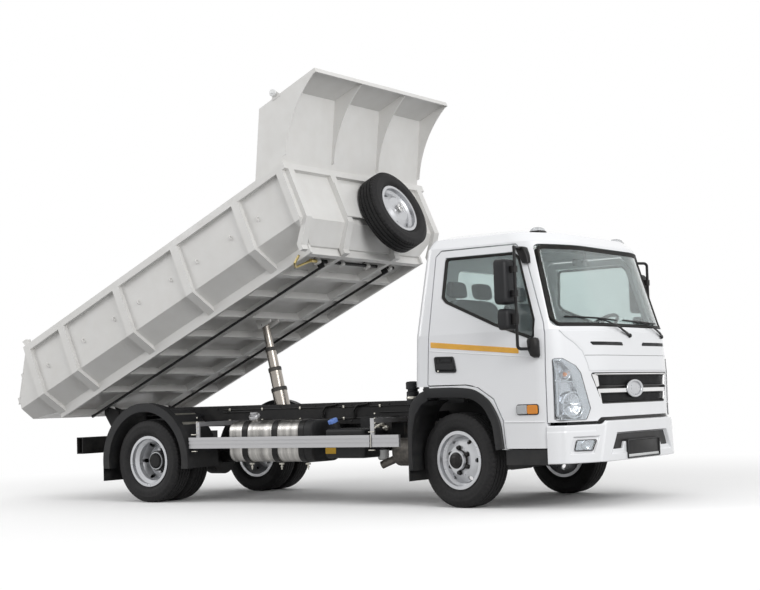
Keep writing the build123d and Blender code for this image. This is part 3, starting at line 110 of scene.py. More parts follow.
def on_bed(points):
    """Turns points in the bed's own frame about its hinge by the angle it stands at."""
    points = np.asarray(points, float)
    dx, dz = points[..., 0] - HINGE_ON_BED[0], points[..., 2] - HINGE_ON_BED[1]
    c, s = math.cos(BED_TILT), math.sin(BED_TILT)
    return np.stack([BED_HINGE[0] + dx * c - dz * s, points[..., 1], BED_HINGE[2] + dx * s + dz * c], -1)


def carry(grid, origin, x_axis, y_axis, z_axis):
    """Places a grid: origin plus each coordinate times its own axis."""
    grid = np.asarray(grid, float)
    axes = np.array([x_axis, y_axis, z_axis], float)
    return grid @ axes + np.asarray(origin, float)


def axes_along(direction, side=(0.0, 0.0, 1.0)):
    """Three unit axes whose third points along the direction; the first is square to it and to the side."""
    w = np.asarray(direction, float)
    w = w / np.linalg.norm(w)
    u = np.cross(side, w)
    if np.linalg.norm(u) < 1e-6:
        u = np.cross((1.0, 0.0, 0.0), w)
    u = u / np.linalg.norm(u)
    return u, np.cross(w, u), w


def rounded(points, radius, steps=5, closed=True):
    """A polygon with each corner replaced by an arc: its centre lies on the bisector, radius over the sine
    of half the angle away, and the arc swings between the two tangent points."""
    points = np.asarray(points, float)
    before, after = np.roll(points, 1, 0), np.roll(points, -1, 0)
    a, b = before - points, after - points
    length_a, length_b = np.linalg.norm(a, axis=1), np.linalg.norm(b, axis=1)
    a, b = a / length_a[:, None], b / length_b[:, None]
    half = 0.5 * np.arccos(np.clip((a * b).sum(1), -1, 1))
    half = np.clip(half, 0.02, math.pi / 2 - 1e-4)
    reach = np.minimum(
        np.broadcast_to(radius, half.shape) / np.tan(half), 0.49 * np.minimum(length_a, length_b)
    )
    bend = reach * np.tan(half)
    bisector = a + b
    norm = np.linalg.norm(bisector, axis=1)
    bisector = bisector / np.maximum(norm, 1e-9)[:, None]
    centre = points + bisector * (bend / np.sin(half))[:, None]
    start = points + a * reach[:, None] - centre
    end = points + b * reach[:, None] - centre
    swing = math.pi - 2 * half
    t = np.linspace(0, 1, steps)[None, :, None]
    swing = np.maximum(swing, 1e-6)[:, None, None]
    arc = (np.sin((1 - t) * swing) * start[:, None] + np.sin(t * swing) * end[:, None]) / np.sin(swing)
    out = (centre[:, None] + arc).reshape(-1, points.shape[1])
    if closed:
        return out
    return np.vstack([points[:1], out[steps:-steps], points[-1:]])


def resample(points, count, closed=False):
    """Points spaced evenly by length along a line."""
    points = np.asarray(points, float)
    if closed:
        points = np.vstack([points, points[:1]])
    steps = np.linalg.norm(np.diff(points, axis=0), axis=1)
    at = np.concatenate([[0], np.cumsum(steps)])
    wanted = np.linspace(0, at[-1], count + 1)[:-1] if closed else np.linspace(0, at[-1], count)
    return np.stack([np.interp(wanted, at, points[:, k]) for k in range(points.shape[1])], -1)


def inset(loop, distance):
    """A flat closed line moved inwards along its normals, by the distance over the cosine of half a bend."""
    d = np.roll(loop, -1, 0) - loop
    d = d / np.maximum(np.linalg.norm(d, axis=1), 1e-9)[:, None]
    n = np.stack([-d[:, 1], d[:, 0]], -1)
    m = n + np.roll(n, 1, 0)
    m = m / np.maximum(np.linalg.norm(m, axis=1), 1e-6)[:, None]
    cosine = np.clip((m * n).sum(1), 0.3, 1)
    area = 0.5 * np.sum(loop[:, 0] * np.roll(loop[:, 1], -1) - np.roll(loop[:, 0], -1) * loop[:, 1])
    return loop + m * (math.copysign(distance, area) / cosine)[:, None] if area else loop


def slab(outline, low, high, bevel, steps=4, foot_bevel=None):
    """A plate over a flat outline: its loops step in by a quarter circle at the top and at the foot."""
    foot = bevel if foot_bevel is None else foot_bevel
    turn = np.linspace(0, math.pi / 2, steps)
    drops = np.concatenate([foot * (1 - np.sin(turn)), bevel * (1 - np.cos(turn))])
    heights = np.concatenate([low + foot * (1 - np.cos(turn)), high - bevel * (1 - np.sin(turn))])
    loops = [np.column_stack([inset(outline, d), np.full(len(outline), h)]) for d, h in zip(drops, heights)]
    return np.array(loops)


def box_outline(width, depth, radius, steps=5):
    """A rectangle round the middle with arcs at its corners."""
    w, d = width / 2, depth / 2
    return rounded([(-w, -d), (w, -d), (w, d), (-w, d)], radius, steps)


def lathe(profile, count=48, start=0.0, sweep=2 * math.pi):
    """A profile of (radius, height) turned round the third axis."""
    profile = np.asarray(profile, float)
    closed = abs(sweep - 2 * math.pi) < 1e-9
    turn = start + np.linspace(0, sweep, count, endpoint=not closed)
    r, h = profile[:, 0], profile[:, 1]
    return np.stack(
        [np.outer(np.cos(turn), r), np.outer(np.sin(turn), r), np.broadcast_to(h, (count, len(h)))], -1
    )


def pipe(path, radius, sides=10, closed=False):
    """A circle carried along a line, square to it at each point; the radius may change along the way."""
    path = np.asarray(path, float)
    ahead = np.roll(path, -1, 0) - np.roll(path, 1, 0)
    if not closed:
        ahead[0], ahead[-1] = path[1] - path[0], path[-1] - path[-2]
    ahead = ahead / np.linalg.norm(ahead, axis=1)[:, None]
    side = np.eye(3)[np.argmin(np.abs(ahead).max(0))]
    u = np.cross(ahead, side)
    u = u / np.linalg.norm(u, axis=1)[:, None]
    v = np.cross(ahead, u)
    turn = np.linspace(0, 2 * math.pi, sides, endpoint=False)
    r = np.broadcast_to(radius, (len(path),))[:, None, None]
    ring = np.cos(turn)[None, :, None] * u[:, None] + np.sin(turn)[None, :, None] * v[:, None]
    return path[:, None] + r * ring


def strip(path, normals, profile, closed=True):
    """A flat profile carried along a line: its first coordinate runs across the line, in the plane square to
    the normal, and its second along the normal."""
    path, normals = np.asarray(path, float), np.asarray(normals, float)
    ahead = np.roll(path, -1, 0) - np.roll(path, 1, 0)
    if not closed:
        ahead[0], ahead[-1] = path[1] - path[0], path[-1] - path[-2]
    across = np.cross(normals, ahead)
    across = across / np.linalg.norm(across, axis=1)[:, None]
    profile = np.asarray(profile, float)
    return path[:, None] + across[:, None] * profile[None, :, :1] + normals[:, None] * profile[None, :, 1:]


def bead(width, height, steps=4):
    """Half-round profile of a trim strip, flat at its foot."""
    turn = np.linspace(0, math.pi, 2 * steps)
    crown = np.column_stack([width / 2 * np.cos(turn), height * np.sin(turn)])
    return np.vstack([[width / 2, -height * 0.4], crown, [-width / 2, -height * 0.4]])


class Shape:
    """Points and faces gathered from several surfaces before they become one mesh."""

    def __init__(self):
        """Starts with no points and no faces."""
        self.points, self.faces, self.count = [], [], 0

    def surface(self, grid, rows_close=False, cols_close=True, caps=True):
        """Adds quads between the neighbours of a grid, and a flat face over each open end of its rows."""
        grid = np.asarray(grid, float)
        rows, cols = grid.shape[:2]
        r = np.arange(rows if rows_close else rows - 1)
        c = np.arange(cols if cols_close else cols - 1)
        i, j = np.meshgrid(r, c, indexing="ij")
        i2, j2 = (i + 1) % rows, (j + 1) % cols
        quads = np.stack([i * cols + j, i * cols + j2, i2 * cols + j2, i2 * cols + j], -1).reshape(-1, 4)
        self.faces += (quads + self.count).tolist()
        if caps and cols_close and not rows_close:
            first, last = self.count, self.count + (rows - 1) * cols
            self.faces.append(list(range(first + cols - 1, first - 1, -1)))
            self.faces.append(list(range(last, last + cols)))
        self.points.append(grid.reshape(-1, 3))
        self.count += rows * cols
        return self

    def turned(self, profile, count, *place, closed=False):
        """Adds a profile turned round its third axis and set in its place; the ends of the profile stay open
        unless it is closed."""
        return self.surface(carry(lathe(profile, count), *place), True, closed, False)

    def moulding(self, outline, lay, section):
        """Adds a closed moulding with this section along an outline."""
        return self.surface(band(outline, lay, section), rows_close=True, caps=False)

    def repeat(self, grids):
        """Adds many grids of the same size at once, each closed both ways."""
        grids = np.asarray(grids, float)
        count, rows, cols = grids.shape[:3]
        i, j = np.meshgrid(np.arange(rows), np.arange(cols), indexing="ij")
        i2, j2 = (i + 1) % rows, (j + 1) % cols
        quads = np.stack([i * cols + j, i * cols + j2, i2 * cols + j2, i2 * cols + j], -1).reshape(1, -1, 4)
        self.faces += (
            quads + (self.count + np.arange(count) * rows * cols)[:, None, None]
        ).reshape(-1, 4).tolist()
        self.points.append(grids.reshape(-1, 3))
        self.count += count * rows * cols
        return self

    def mirrored(self):
        """Adds the same surfaces on the other side of the truck."""
        points = np.vstack(self.points)
        self.faces += [[n + self.count for n in reversed(face)] for face in list(self.faces)]
        self.points.append(points * (1, -1, 1))
        self.count *= 2
        return self

    def build(self, name, body, slot, material, sharp=38.0, place=truck, outward=True):
        """Makes the mesh of a named material, turns faces outwards and lets the piece ride on its body."""
        mesh = bpy.data.meshes.new(name)
        mesh.from_pydata(place(np.vstack(self.points)).tolist(), [], self.faces)
        work = bmesh.new()
        work.from_mesh(mesh)
        bmesh.ops.remove_doubles(work, verts=work.verts, dist=2e-6)
        if outward:
            bmesh.ops.recalc_face_normals(work, faces=work.faces)
        work.to_mesh(mesh)
        work.free()
        mesh.polygons.foreach_set("use_smooth", [True] * len(mesh.polygons))
        mesh.set_sharp_from_angle(angle=math.radians(sharp))
        mesh.materials.append(MATERIALS[material])
        piece = bpy.data.objects.new(name, mesh)
        bpy.context.scene.collection.objects.link(piece)
        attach(piece, body)
        return piece


# ---------------------------------------------------------------- where the cab's skin runs
def section_at(z):
    """The cab's plan values at a height, each worked out straight between two sections."""
    return [np.interp(z, CAB_SECTIONS[:, 0], CAB_SECTIONS[:, k]) for k in range(1, 5)]


def bumper_section(z):
    """The bumper's plan values, the same at every height."""
    return [np.full(np.shape(z), value) for value in BUMPER_PLAN]


def nose_x(y, z, section=section_at):
    """How far forward the front stands: flat in the middle, an arc, a slanting line, then the corner arc."""
    side_front, front, half, flat = section(z)
    y = np.abs(y)
    slope = np.arctan2(front - side_front, half - flat)
    t = NOSE_RADIUS * np.tan(slope / 2)
    arc = front - NOSE_RADIUS + np.sqrt(np.maximum(NOSE_RADIUS ** 2 - (y - flat + t) ** 2, 0))
    line = front - (y - flat) * np.tan(slope)
    corner_t = SIDE_RADIUS * np.tan((math.pi / 2 - slope) / 2)
    corner = side_front - corner_t + np.sqrt(np.maximum(SIDE_RADIUS ** 2 - (y - half + SIDE_RADIUS) ** 2, 0))
    x = np.where(y < flat - t, front, np.where(y < flat + t * np.cos(slope), arc, line))
    return np.where(y > half - corner_t * np.sin(slope), corner, x)


def flank_y(x, z):
    """Half width of the cab at a place on its side: straight, then round the front corner."""
    side_front, front, half, flat = section_at(z)
    slope = np.arctan2(front - side_front, half - flat)
    start = side_front - SIDE_RADIUS * np.tan((math.pi / 2 - slope) / 2)
    ahead = np.maximum(x - start, 0)
    return half - SIDE_RADIUS + np.sqrt(np.maximum(SIDE_RADIUS ** 2 - ahead ** 2, 0))


def skin_normals(points, surface, step=0.004):
    """Unit normals of a skin given as a function of two coordinates, from its slopes along both."""
    u = surface(points + (step, 0)) - surface(points - (step, 0))
    v = surface(points + (0, step)) - surface(points - (0, step))
    n = np.cross(u, v)
    return n / np.linalg.norm(n, axis=-1)[..., None]


def front_skin(points, section=section_at):
    """Points (y, z) laid on the cab's front."""
    y, z = points[..., 0], points[..., 1]
    return np.stack([nose_x(y, z, section), y, z], -1)


def side_skin(points, side=-1):
    """Points (x, z) laid on one of the cab's sides."""
    x, z = points[..., 0], points[..., 1]
    return np.stack([x, side * flank_y(x, z), z], -1)


def on_front(points, out=0.0, section=section_at):
    """Points (y, z) on the front, moved out along the skin's normal, with the normals."""
    points = np.asarray(points, float)
    normal = skin_normals(points, lambda p: front_skin(p, section))
    return front_skin(points, section) + normal * np.asarray(out)[..., None], normal


def on_bumper(points, out=0.0):
    """Points (y, z) on the bumper's front, moved out along its normal, with the normals."""
    return on_front(points, out, bumper_section)


def on_side(points, side, out=0.0):
    """Points (x, z) on a side, moved out along the skin's normal, with the normals."""
    points = np.asarray(points, float)
    normal = skin_normals(points, lambda p: side_skin(p, side)) * -side
    return side_skin(points, side) + normal * np.asarray(out)[..., None], normal


def laid(outline, lay, low, high, bevel, steps=3, rings=6):
    """A plate that follows a skin: the loops of a slab, each laid on the skin and moved out by its height.
    Inner rings shrink towards the outline's middle, so that the face bends with the skin."""
    loops = slab(np.asarray(outline, float), low, high, bevel, steps)
    flat = np.concatenate([loops[:, :, :2]])
    heights = loops[:, 0, 2]
    middle = loops[-1, :, :2].mean(0)
    shrink = np.linspace(1, 0.02, rings)[1:, None, None]
    inner = middle + (loops[-1:, :, :2] - middle) * shrink
    foot = (middle + (loops[:1, :, :2] - middle) * shrink[::-1])
    flat = np.concatenate([foot, flat, inner])
    heights = np.concatenate([np.full(rings - 1, low), heights, np.full(rings - 1, high)])
    return lay(flat, np.broadcast_to(heights[:, None], flat.shape[:2]))[0]


# ---------------------------------------------------------------- materials
def node(tree, kind, **values):
    """Adds a node and sets its properties or unlinked sockets."""
    made = tree.nodes.new(kind)
    for key, value in values.items():
        if key in made.inputs:
            made.inputs[key].default_value = value
        else:
            setattr(made, key.lower(), value)
    return made


def spread(tree, source, low, high):
    """Maps noise between about 0.3 and 0.7 onto a range."""
    ranged = node(tree, "ShaderNodeMapRange")
    for key, value in (("From Min", 0.3), ("From Max", 0.7), ("To Min", low), ("To Max", high)):
        ranged.inputs[key].default_value = value
    tree.links.new(source, ranged.inputs["Value"])
    return ranged.outputs["Result"]


def noise(tree, vector, scale, detail=3.0):
    """Fractal noise at a scale, in waves per metre."""
    made = node(tree, "ShaderNodeTexNoise")
    made.inputs["Scale"].default_value = scale
    made.inputs["Detail"].default_value = detail
    tree.links.new(vector, made.inputs["Vector"])
    return made.outputs["Fac"]


def blend(tree, factor, first, second):
    """Mixes two colours, each a tuple or a socket, by a factor socket."""
    mixed = node(tree, "ShaderNodeMix", data_type="RGBA")
    for index, colour in ((6, first), (7, second)):
        if isinstance(colour, tuple):
            mixed.inputs[index].default_value = (*colour, 1.0)
        else:
            tree.links.new(colour, mixed.inputs[index])
    tree.links.new(factor, mixed.inputs[0])
    return mixed.outputs[2]


def shade(colour, share):
    """A colour made darker or lighter by a share of itself."""
    return tuple(min(max(c * (1 + share), 0.0), 1.0) for c in colour)


MATERIALS = {}


def finish(name, colour, rough, metal=0.0, coat=0.0, clear=0.0, ior=1.45, vary=0.06, vary_scale=2.5,
           rough_vary=0.08, grain=0.0, grain_scale=400.0, stretch=(1.0, 1.0, 1.0), dust=0.0,
           dust_colour=(0.42, 0.38, 0.32), dust_height=0.0, glow=0.0, gleam=0.5):
    """A surface finish: colour that drifts by slow noise, gloss that drifts by a second one, fine grain as
    bump, and dust that gathers in patches, thicker towards the ground when it has a height."""
    made = bpy.data.materials.new(name)
    made.use_nodes = True
    tree = made.node_tree
    shader = tree.nodes["Principled BSDF"]
    shader.inputs["Metallic"].default_value = metal
    shader.inputs["Coat Weight"].default_value = coat
    shader.inputs["Specular IOR Level"].default_value = gleam
    shader.inputs["Coat Roughness"].default_value = 0.08
    shader.inputs["Transmission Weight"].default_value = clear
    shader.inputs["IOR"].default_value = ior
    coords = node(tree, "ShaderNodeTexCoord").outputs["Object"]
    mapped = node(tree, "ShaderNodeMapping")
    mapped.inputs["Scale"].default_value = stretch
    tree.links.new(coords, mapped.inputs["Vector"])
    vector = mapped.outputs["Vector"]
    slow = noise(tree, vector, vary_scale, 5.0)
    drift = spread(tree, slow, 0.0, 1.0)
    tone = blend(tree, drift, shade(colour, -vary), shade(colour, vary))
    patches = noise(tree, vector, vary_scale * 5.3, 6.0)
    if dust:
        low = spread(tree, patches, 0.0, dust)
        if dust_height:
            parts = node(tree, "ShaderNodeSeparateXYZ")
            tree.links.new(coords, parts.inputs[0])
            height = node(tree, "ShaderNodeMapRange")
            for key, value in (
                ("From Min", 0.0), ("From Max", dust_height), ("To Min", 1.0), ("To Max", 0.12)
            ):
                height.inputs[key].default_value = value
            tree.links.new(parts.outputs["Z"], height.inputs["Value"])
            product = node(tree, "ShaderNodeMath", operation="MULTIPLY")
            tree.links.new(low, product.inputs[0])
            tree.links.new(height.outputs["Result"], product.inputs[1])
            low = product.outputs["Value"]
        tone = blend(tree, low, tone, dust_colour)
    tree.links.new(tone, shader.inputs["Base Color"])
    gloss = spread(tree, patches, max(rough - rough_vary, 0.02), min(rough + rough_vary, 1.0))
    tree.links.new(gloss, shader.inputs["Roughness"])
    if grain:
        bump = node(tree, "ShaderNodeBump")
        bump.inputs["Strength"].default_value = grain
        bump.inputs["Distance"].default_value = 0.002
        tree.links.new(noise(tree, vector, grain_scale, 2.0), bump.inputs["Height"])
        tree.links.new(bump.outputs["Normal"], shader.inputs["Normal"])
    if glow:
        shader.inputs["Emission Color"].default_value = (*colour, 1.0)
        shader.inputs["Emission Strength"].default_value = glow
    MATERIALS[name] = made
    return made


def woven(name, colour, second, threads=420.0):
    """Seat cloth: two crossed waves make the weave, which sets both its colour and its bump."""
    made = finish(name, colour, 0.85, vary=0.08, grain=0.0)
    tree = made.node_tree
    shader = tree.nodes["Principled BSDF"]
    shader.inputs["Sheen Weight"].default_value = 0.25
    coords = node(tree, "ShaderNodeTexCoord").outputs["Object"]
    waves = []
    for direction in ("X", "Y"):
        wave = node(tree, "ShaderNodeTexWave", bands_direction=direction)
        wave.inputs["Scale"].default_value = threads / 6.0
        tree.links.new(coords, wave.inputs["Vector"])
        waves.append(wave.outputs["Fac"])
    cross = node(tree, "ShaderNodeMath", operation="MULTIPLY")
    tree.links.new(waves[0], cross.inputs[0])
    tree.links.new(waves[1], cross.inputs[1])
    base = shader.inputs["Base Color"].links[0].from_socket
    tree.links.new(blend(tree, cross.outputs["Value"], base, second), shader.inputs["Base Color"])
    bump = node(tree, "ShaderNodeBump")
    bump.inputs["Strength"].default_value = 0.5
    bump.inputs["Distance"].default_value = 0.001
    tree.links.new(cross.outputs["Value"], bump.inputs["Height"])
    tree.links.new(bump.outputs["Normal"], shader.inputs["Normal"])


def make_materials():
    """Makes every finish of the truck, which MATERIALS then holds by its plain name."""
    colours = bpy.context.scene.truck_colours
    cab, bed, chassis = tuple(colours.cab), tuple(colours.bed), tuple(colours.chassis)
    finish(
        "cab paint", cab, 0.22, coat=0.6, vary=0.015, vary_scale=0.8, rough_vary=0.04, grain=0.03,
        grain_scale=900.0, dust=0.10, dust_height=1.3
    )
    finish(
        "bed paint", bed, 0.38, coat=0.15, vary=0.035, vary_scale=1.4, rough_vary=0.08, grain=0.05,
        grain_scale=500.0, dust=0.10
    )
    finish(
        "chassis paint", chassis, 0.42, vary=0.25, vary_scale=3.0, gleam=0.22, grain=0.10, grain_scale=260.0,
        dust=0.07, dust_height=1.0
    )
    finish(
        "cast iron", (0.045, 0.045, 0.047), 0.6, metal=0.4, vary=0.3, grain=0.35, grain_scale=220.0, dust=0.25
    )
    finish(
        "core", (0.30, 0.31, 0.32), 0.5, metal=0.7, vary=0.15, grain=0.4, grain_scale=160.0,
        stretch=(1.0, 0.2, 6.0)
    )
    finish(
        "tank metal", (0.36, 0.35, 0.335), 0.34, metal=1.0, vary=0.40, vary_scale=7.0, rough_vary=0.10,
        grain=0.08, grain_scale=160.0, stretch=(3.6, 0.25, 0.25)
    )
    finish(
        "black plastic", (0.014, 0.0145, 0.016), 0.46, vary=0.2, grain=0.14, grain_scale=700.0, dust=0.05,
        dust_height=1.0, gleam=0.3
    )
    finish("satin black", (0.009, 0.009, 0.010), 0.36, vary=0.2, grain=0.05, dust=0.03, gleam=0.25)
    finish(
        "rubber", (0.012, 0.012, 0.012), 0.62, vary=0.25, grain=0.10, grain_scale=500.0, dust=0.04, gleam=0.25
    )
    finish(
        "tyre", (0.013, 0.013, 0.014), 0.66, vary=0.22, vary_scale=9.0, grain=0.16, grain_scale=520.0,
        dust=0.09, dust_colour=(0.16, 0.15, 0.14), gleam=0.25
    )
    finish("silencer", (0.085, 0.080, 0.075), 0.5, metal=0.8, vary=0.3, vary_scale=7.0, grain=0.15, dust=0.2)
    finish(
        "guard metal", (0.44, 0.44, 0.45), 0.40, metal=0.8, vary=0.04, rough_vary=0.05, grain=0.06,
        grain_scale=300.0, stretch=(0.1, 1.0, 5.0), dust=0.04
    )
    finish("zinc", (0.58, 0.56, 0.50), 0.36, metal=0.9, vary=0.16, vary_scale=18.0, grain=0.08)
    finish("yellow zinc", (0.62, 0.50, 0.22), 0.34, metal=0.9, vary=0.2, vary_scale=14.0)
    finish("lamp chrome", (0.62, 0.63, 0.65), 0.20, metal=1.0, vary=0.03, rough_vary=0.05)
    finish("bright metal", (0.80, 0.80, 0.80), 0.14, metal=1.0, vary=0.03, rough_vary=0.05)
    finish(
        "wheel silver", (0.55, 0.56, 0.58), 0.34, metal=0.65, coat=0.3, vary=0.04, vary_scale=4.0, grain=0.05,
        dust=0.07
    )
    finish(
        "hoist chrome", (0.38, 0.35, 0.315), 0.27, metal=1.0, vary=0.10, vary_scale=6.0,
        stretch=(1.0, 1.0, 0.2), grain=0.04
    )
    finish("hoist paint", (0.26, 0.245, 0.22), 0.36, metal=0.8, vary=0.12, vary_scale=5.0)
    finish("glass", (0.72, 0.80, 0.79), 0.03, clear=0.94, ior=1.45, vary=0.03, rough_vary=0.02)
    finish("lens", (0.90, 0.93, 0.95), 0.04, clear=0.92, ior=1.49, vary=0.02, rough_vary=0.02)
    finish(
        "ribbed lens", (0.86, 0.88, 0.90), 0.10, clear=0.5, grain=0.5, grain_scale=160.0,
        stretch=(1.0, 5.0, 0.3)
    )
    finish("amber lens", (0.85, 0.30, 0.03), 0.12, clear=0.35, grain=0.3, grain_scale=150.0, glow=0.12)
    finish("red lens", (0.50, 0.015, 0.012), 0.12, clear=0.25, grain=0.3, grain_scale=150.0)
    finish("stripe", tuple(colours.stripe), 0.32, coat=0.3, vary=0.06, vary_scale=12.0, grain=0.05)
    finish("tag yellow", (0.72, 0.42, 0.03), 0.45, vary=0.06, grain=0.05)
    finish("cap blue", (0.13, 0.24, 0.60), 0.42, vary=0.08, grain=0.10)
    finish("plate", (0.62, 0.63, 0.63), 0.40, vary=0.04, grain=0.05)
    finish("mirror", (0.88, 0.90, 0.91), 0.03, metal=1.0, vary=0.01, rough_vary=0.01)
    finish("dash plastic", (0.085, 0.088, 0.095), 0.60, vary=0.08, grain=0.25, grain_scale=600.0)
    finish("trim plastic", (0.20, 0.205, 0.21), 0.62, vary=0.08, grain=0.2, grain_scale=600.0)
    finish("wheel grip", (0.03, 0.03, 0.032), 0.45, vary=0.1, grain=0.3, grain_scale=900.0)
    woven("seat cloth", (0.10, 0.105, 0.115), (0.17, 0.175, 0.19))
    finish("white plastic", (0.78, 0.79, 0.79), 0.40, vary=0.04, grain=0.05, dust=0.08)


NODE_FINISH = {
    "cab_shell": "cab paint",
    "front_panel": "cab paint",
    "door_left": "cab paint",
    "door_right": "cab paint",
    "front_bumper": "cab paint",
    "cab_glass": "glass",
    "door_glass_left": "glass",
    "door_glass_right": "glass",
    "bed_tub": "bed paint",
    "bed_frame": "bed paint",
    "headboard": "bed paint",
    "tailgate": "bed paint",
    "spare_carrier": "bed paint",
    "gate_release": "chassis paint",
    "frame": "chassis paint",
    "front_axle": "chassis paint",
    "springs": "chassis paint",
    "rear_axle": "chassis paint",
    "propeller_shaft": "chassis paint",
    "knuckle_left": "chassis paint",
    "knuckle_right": "chassis paint",
    "tie_rod": "chassis paint",
    "underrun_bar": "chassis paint",
    "air_tanks": "chassis paint",
    "engine": "cast iron",
    "radiator": "core",
    "fuel_tank": "tank metal",
    "urea_tank": "black plastic",
    "battery_box": "black plastic",
    "air_intake": "black plastic",
    "mudguards": "black plastic",
    "arch_flares": "black plastic",
    "cab_steps": "black plastic",
    "mirror_left": "black plastic",
    "mirror_right": "black plastic",
    "exhaust": "silencer",
    "side_guards": "guard metal",
    "tail_lamps": "red lens",
    "number_plate": "satin black",
    "headlamps": "lens",
    "grille": "satin black",
    "dashboard": "dash plastic",
    "steering_wheel": "wheel grip",
    "seats": "seat cloth",
    "roof_lamps": "lens",
    "front_rim_left": "wheel silver",
    "front_rim_right": "wheel silver",
    "rear_rims_left": "wheel silver",
    "rear_rims_right": "wheel silver",
    "spare_rim": "wheel silver",
    "front_tyre_left": "tyre",
    "front_tyre_right": "tyre",
    "rear_tyres_left": "tyre",
    "rear_tyres_right": "tyre",
    "spare_tyre": "tyre",
    "hoist_barrel": "hoist paint",
    "hoist_stage_1": "hoist chrome",
    "hoist_stage_2": "hoist chrome",
    "hoist_stage_3": "hoist chrome",
    "hoist_rod": "hoist chrome",
}


# ---------------------------------------------------------------- tyres
def tyre_grid(radius, width, rim_radius, depth, pitches=60):
    """Tyre skin round the third axis: radius and height follow a profile from bead to bead, and each
    pitch of the tread drops at its shoulder notches and carries its grooves in a slight zigzag."""
    half = width / 2
    bead_half = half * 0.72
    grooves = np.array((-0.52, -0.175, 0.175, 0.52)) * half
    lip = 0.0045
    wall = np.array(
        (
            (rim_radius - 0.016, bead_half), (rim_radius + 0.002, bead_half + 0.002),
            (rim_radius + 0.010, bead_half + 0.008), (rim_radius + 0.014, bead_half + 0.007),
            (rim_radius + 0.030, half * 0.93), (rim_radius + 0.034, half * 0.955),
            (rim_radius + 0.052, half * 0.995), (rim_radius + 0.070, half),
            (rim_radius + 0.088, half * 0.985), (rim_radius + 0.091, half * 0.995),
            (rim_radius + 0.105, half * 0.955), (rim_radius + 0.120, half * 0.90),
            (radius - 0.020, half * 0.865), (radius - 0.008, half * 0.835), (radius - 0.0035, half * 0.80),
        )
    )
    across = np.sort(np.concatenate([grooves - lip, grooves - lip * 0.6, grooves + lip * 0.6, grooves + lip]))
    crown = radius - 0.004 * (across / (0.8 * half)) ** 2
    floor = np.tile([0.0, depth, depth, 0.0], len(grooves))
    profile = np.vstack([wall * (1, -1), np.column_stack([crown - floor, across]), wall[::-1]])
    steps = np.array((0.0, 0.44, 0.50, 0.56))
    turn = ((np.arange(pitches)[:, None] + steps) / pitches * 2 * math.pi).ravel()
    notch = np.tile([0.0, 0.0, 1.0, 0.0], pitches)
    shoulder = (np.abs(profile[:, 1]) > half * 0.79) & (np.abs(profile[:, 1]) < half * 0.88)
    zigzag = 0.0022 * np.where(np.arange(len(turn)) % 4 < 2, 1.0, -1.0)
    r = profile[:, 0][None] - notch[:, None] * shoulder[None] * 0.0035
    inner = np.abs(profile[:, 1]) < half * 0.7
    h = profile[:, 1][None] + zigzag[:, None] * inner[None]
    return np.stack([np.cos(turn)[:, None] * r, np.sin(turn)[:, None] * r, np.broadcast_to(h, r.shape)], -1)


def wheel_place(side):
    """Where a front wheel stands: its centre and its three axes, turned about the kingpin as steered."""
    name = "left" if side > 0 else "right"
    joint = JOINTS["front_wheel_%s_spin" % name]
    axis = np.array(joint["axis"]) * side
    return (np.array(joint["pos_m"]), *axes_along(axis))


class TRUCK_OT_tyres(bpy.types.Operator):
    """Road tyres with four grooves, notched shoulders and stepped sidewalls"""

    bl_idname = "truck.tyres"
    bl_label = "Tyres"

    def execute(self, context):
        sizes = context.scene.truck_sizes
        grid = tyre_grid(sizes.tyre_radius, sizes.tyre_width, sizes.rim_radius, sizes.tread_depth)

        def tyre(name, body, places, *nodes):
            """One piece of a tyre, or of the two tyres of a twin wheel, in place of the named nodes."""
            shape = Shape()
            for origin, u, v, w in places:
                shape.surface(carry(grid, origin, u, v, w), rows_close=True, cols_close=True, caps=False)
            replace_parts(shape.build(name, body, "tyre", "tyre", place=np.asarray, sharp=50.0), *nodes)

        for side, name in ((1, "left"), (-1, "right")):
            tyre("tyre_front_" + name, "front_wheel_" + name, [wheel_place(side)], "front_tyre_" + name)
            places = [
                (truck((REAR_AXLE_X, side * y, AXLE_Z)), *axes_along((0, side, 0))) for y in (0.900, 0.660)
            ]
            tyre("tyres_rear_" + name, "rear_wheels_" + name, places, "rear_tyres_" + name)
        u = np.array((math.cos(BED_TILT), 0, math.sin(BED_TILT)))
        spare = (on_bed(SPARE_CENTRE), *axes_along(u))
        tyre("tyre_spare", "bed", [spare], "spare_tyre")
        return {"FINISHED"}


SPARE_CENTRE = (3.8115, 0.154, 0.320)


# ---------------------------------------------------------------- wheels' trim
def nut_profile(radius, height):
    """Half profile of a capped nut: flange, hexagon's height and domed end."""
    turn = np.linspace(0, math.pi / 2, 5)
    dome = np.column_stack([radius * 0.78 * np.cos(turn), height * 0.72 + radius * 0.55 * np.sin(turn)])
    return np.vstack(
        [
            [
                (0, 0), (radius * 1.25, 0), (radius * 1.25, height * 0.12), (radius, height * 0.16),
                (radius, height * 0.66)
            ],
            dome
        ]
    )


def nuts_ring(shape, origin, u, v, w, count, circle, radius, height, phase=0.0):
    """A ring of capped nuts standing along w, each a six-sided lathe."""
    for turn in phase + np.arange(count) * 2 * math.pi / count:
        foot = np.asarray(origin) + circle * (math.cos(turn) * np.asarray(u) + math.sin(turn) * np.asarray(v))
        shape.surface(
            carry(lathe(nut_profile(radius, height), 12), foot, u, v, w), rows_close=True, cols_close=False,
            caps=False
        )


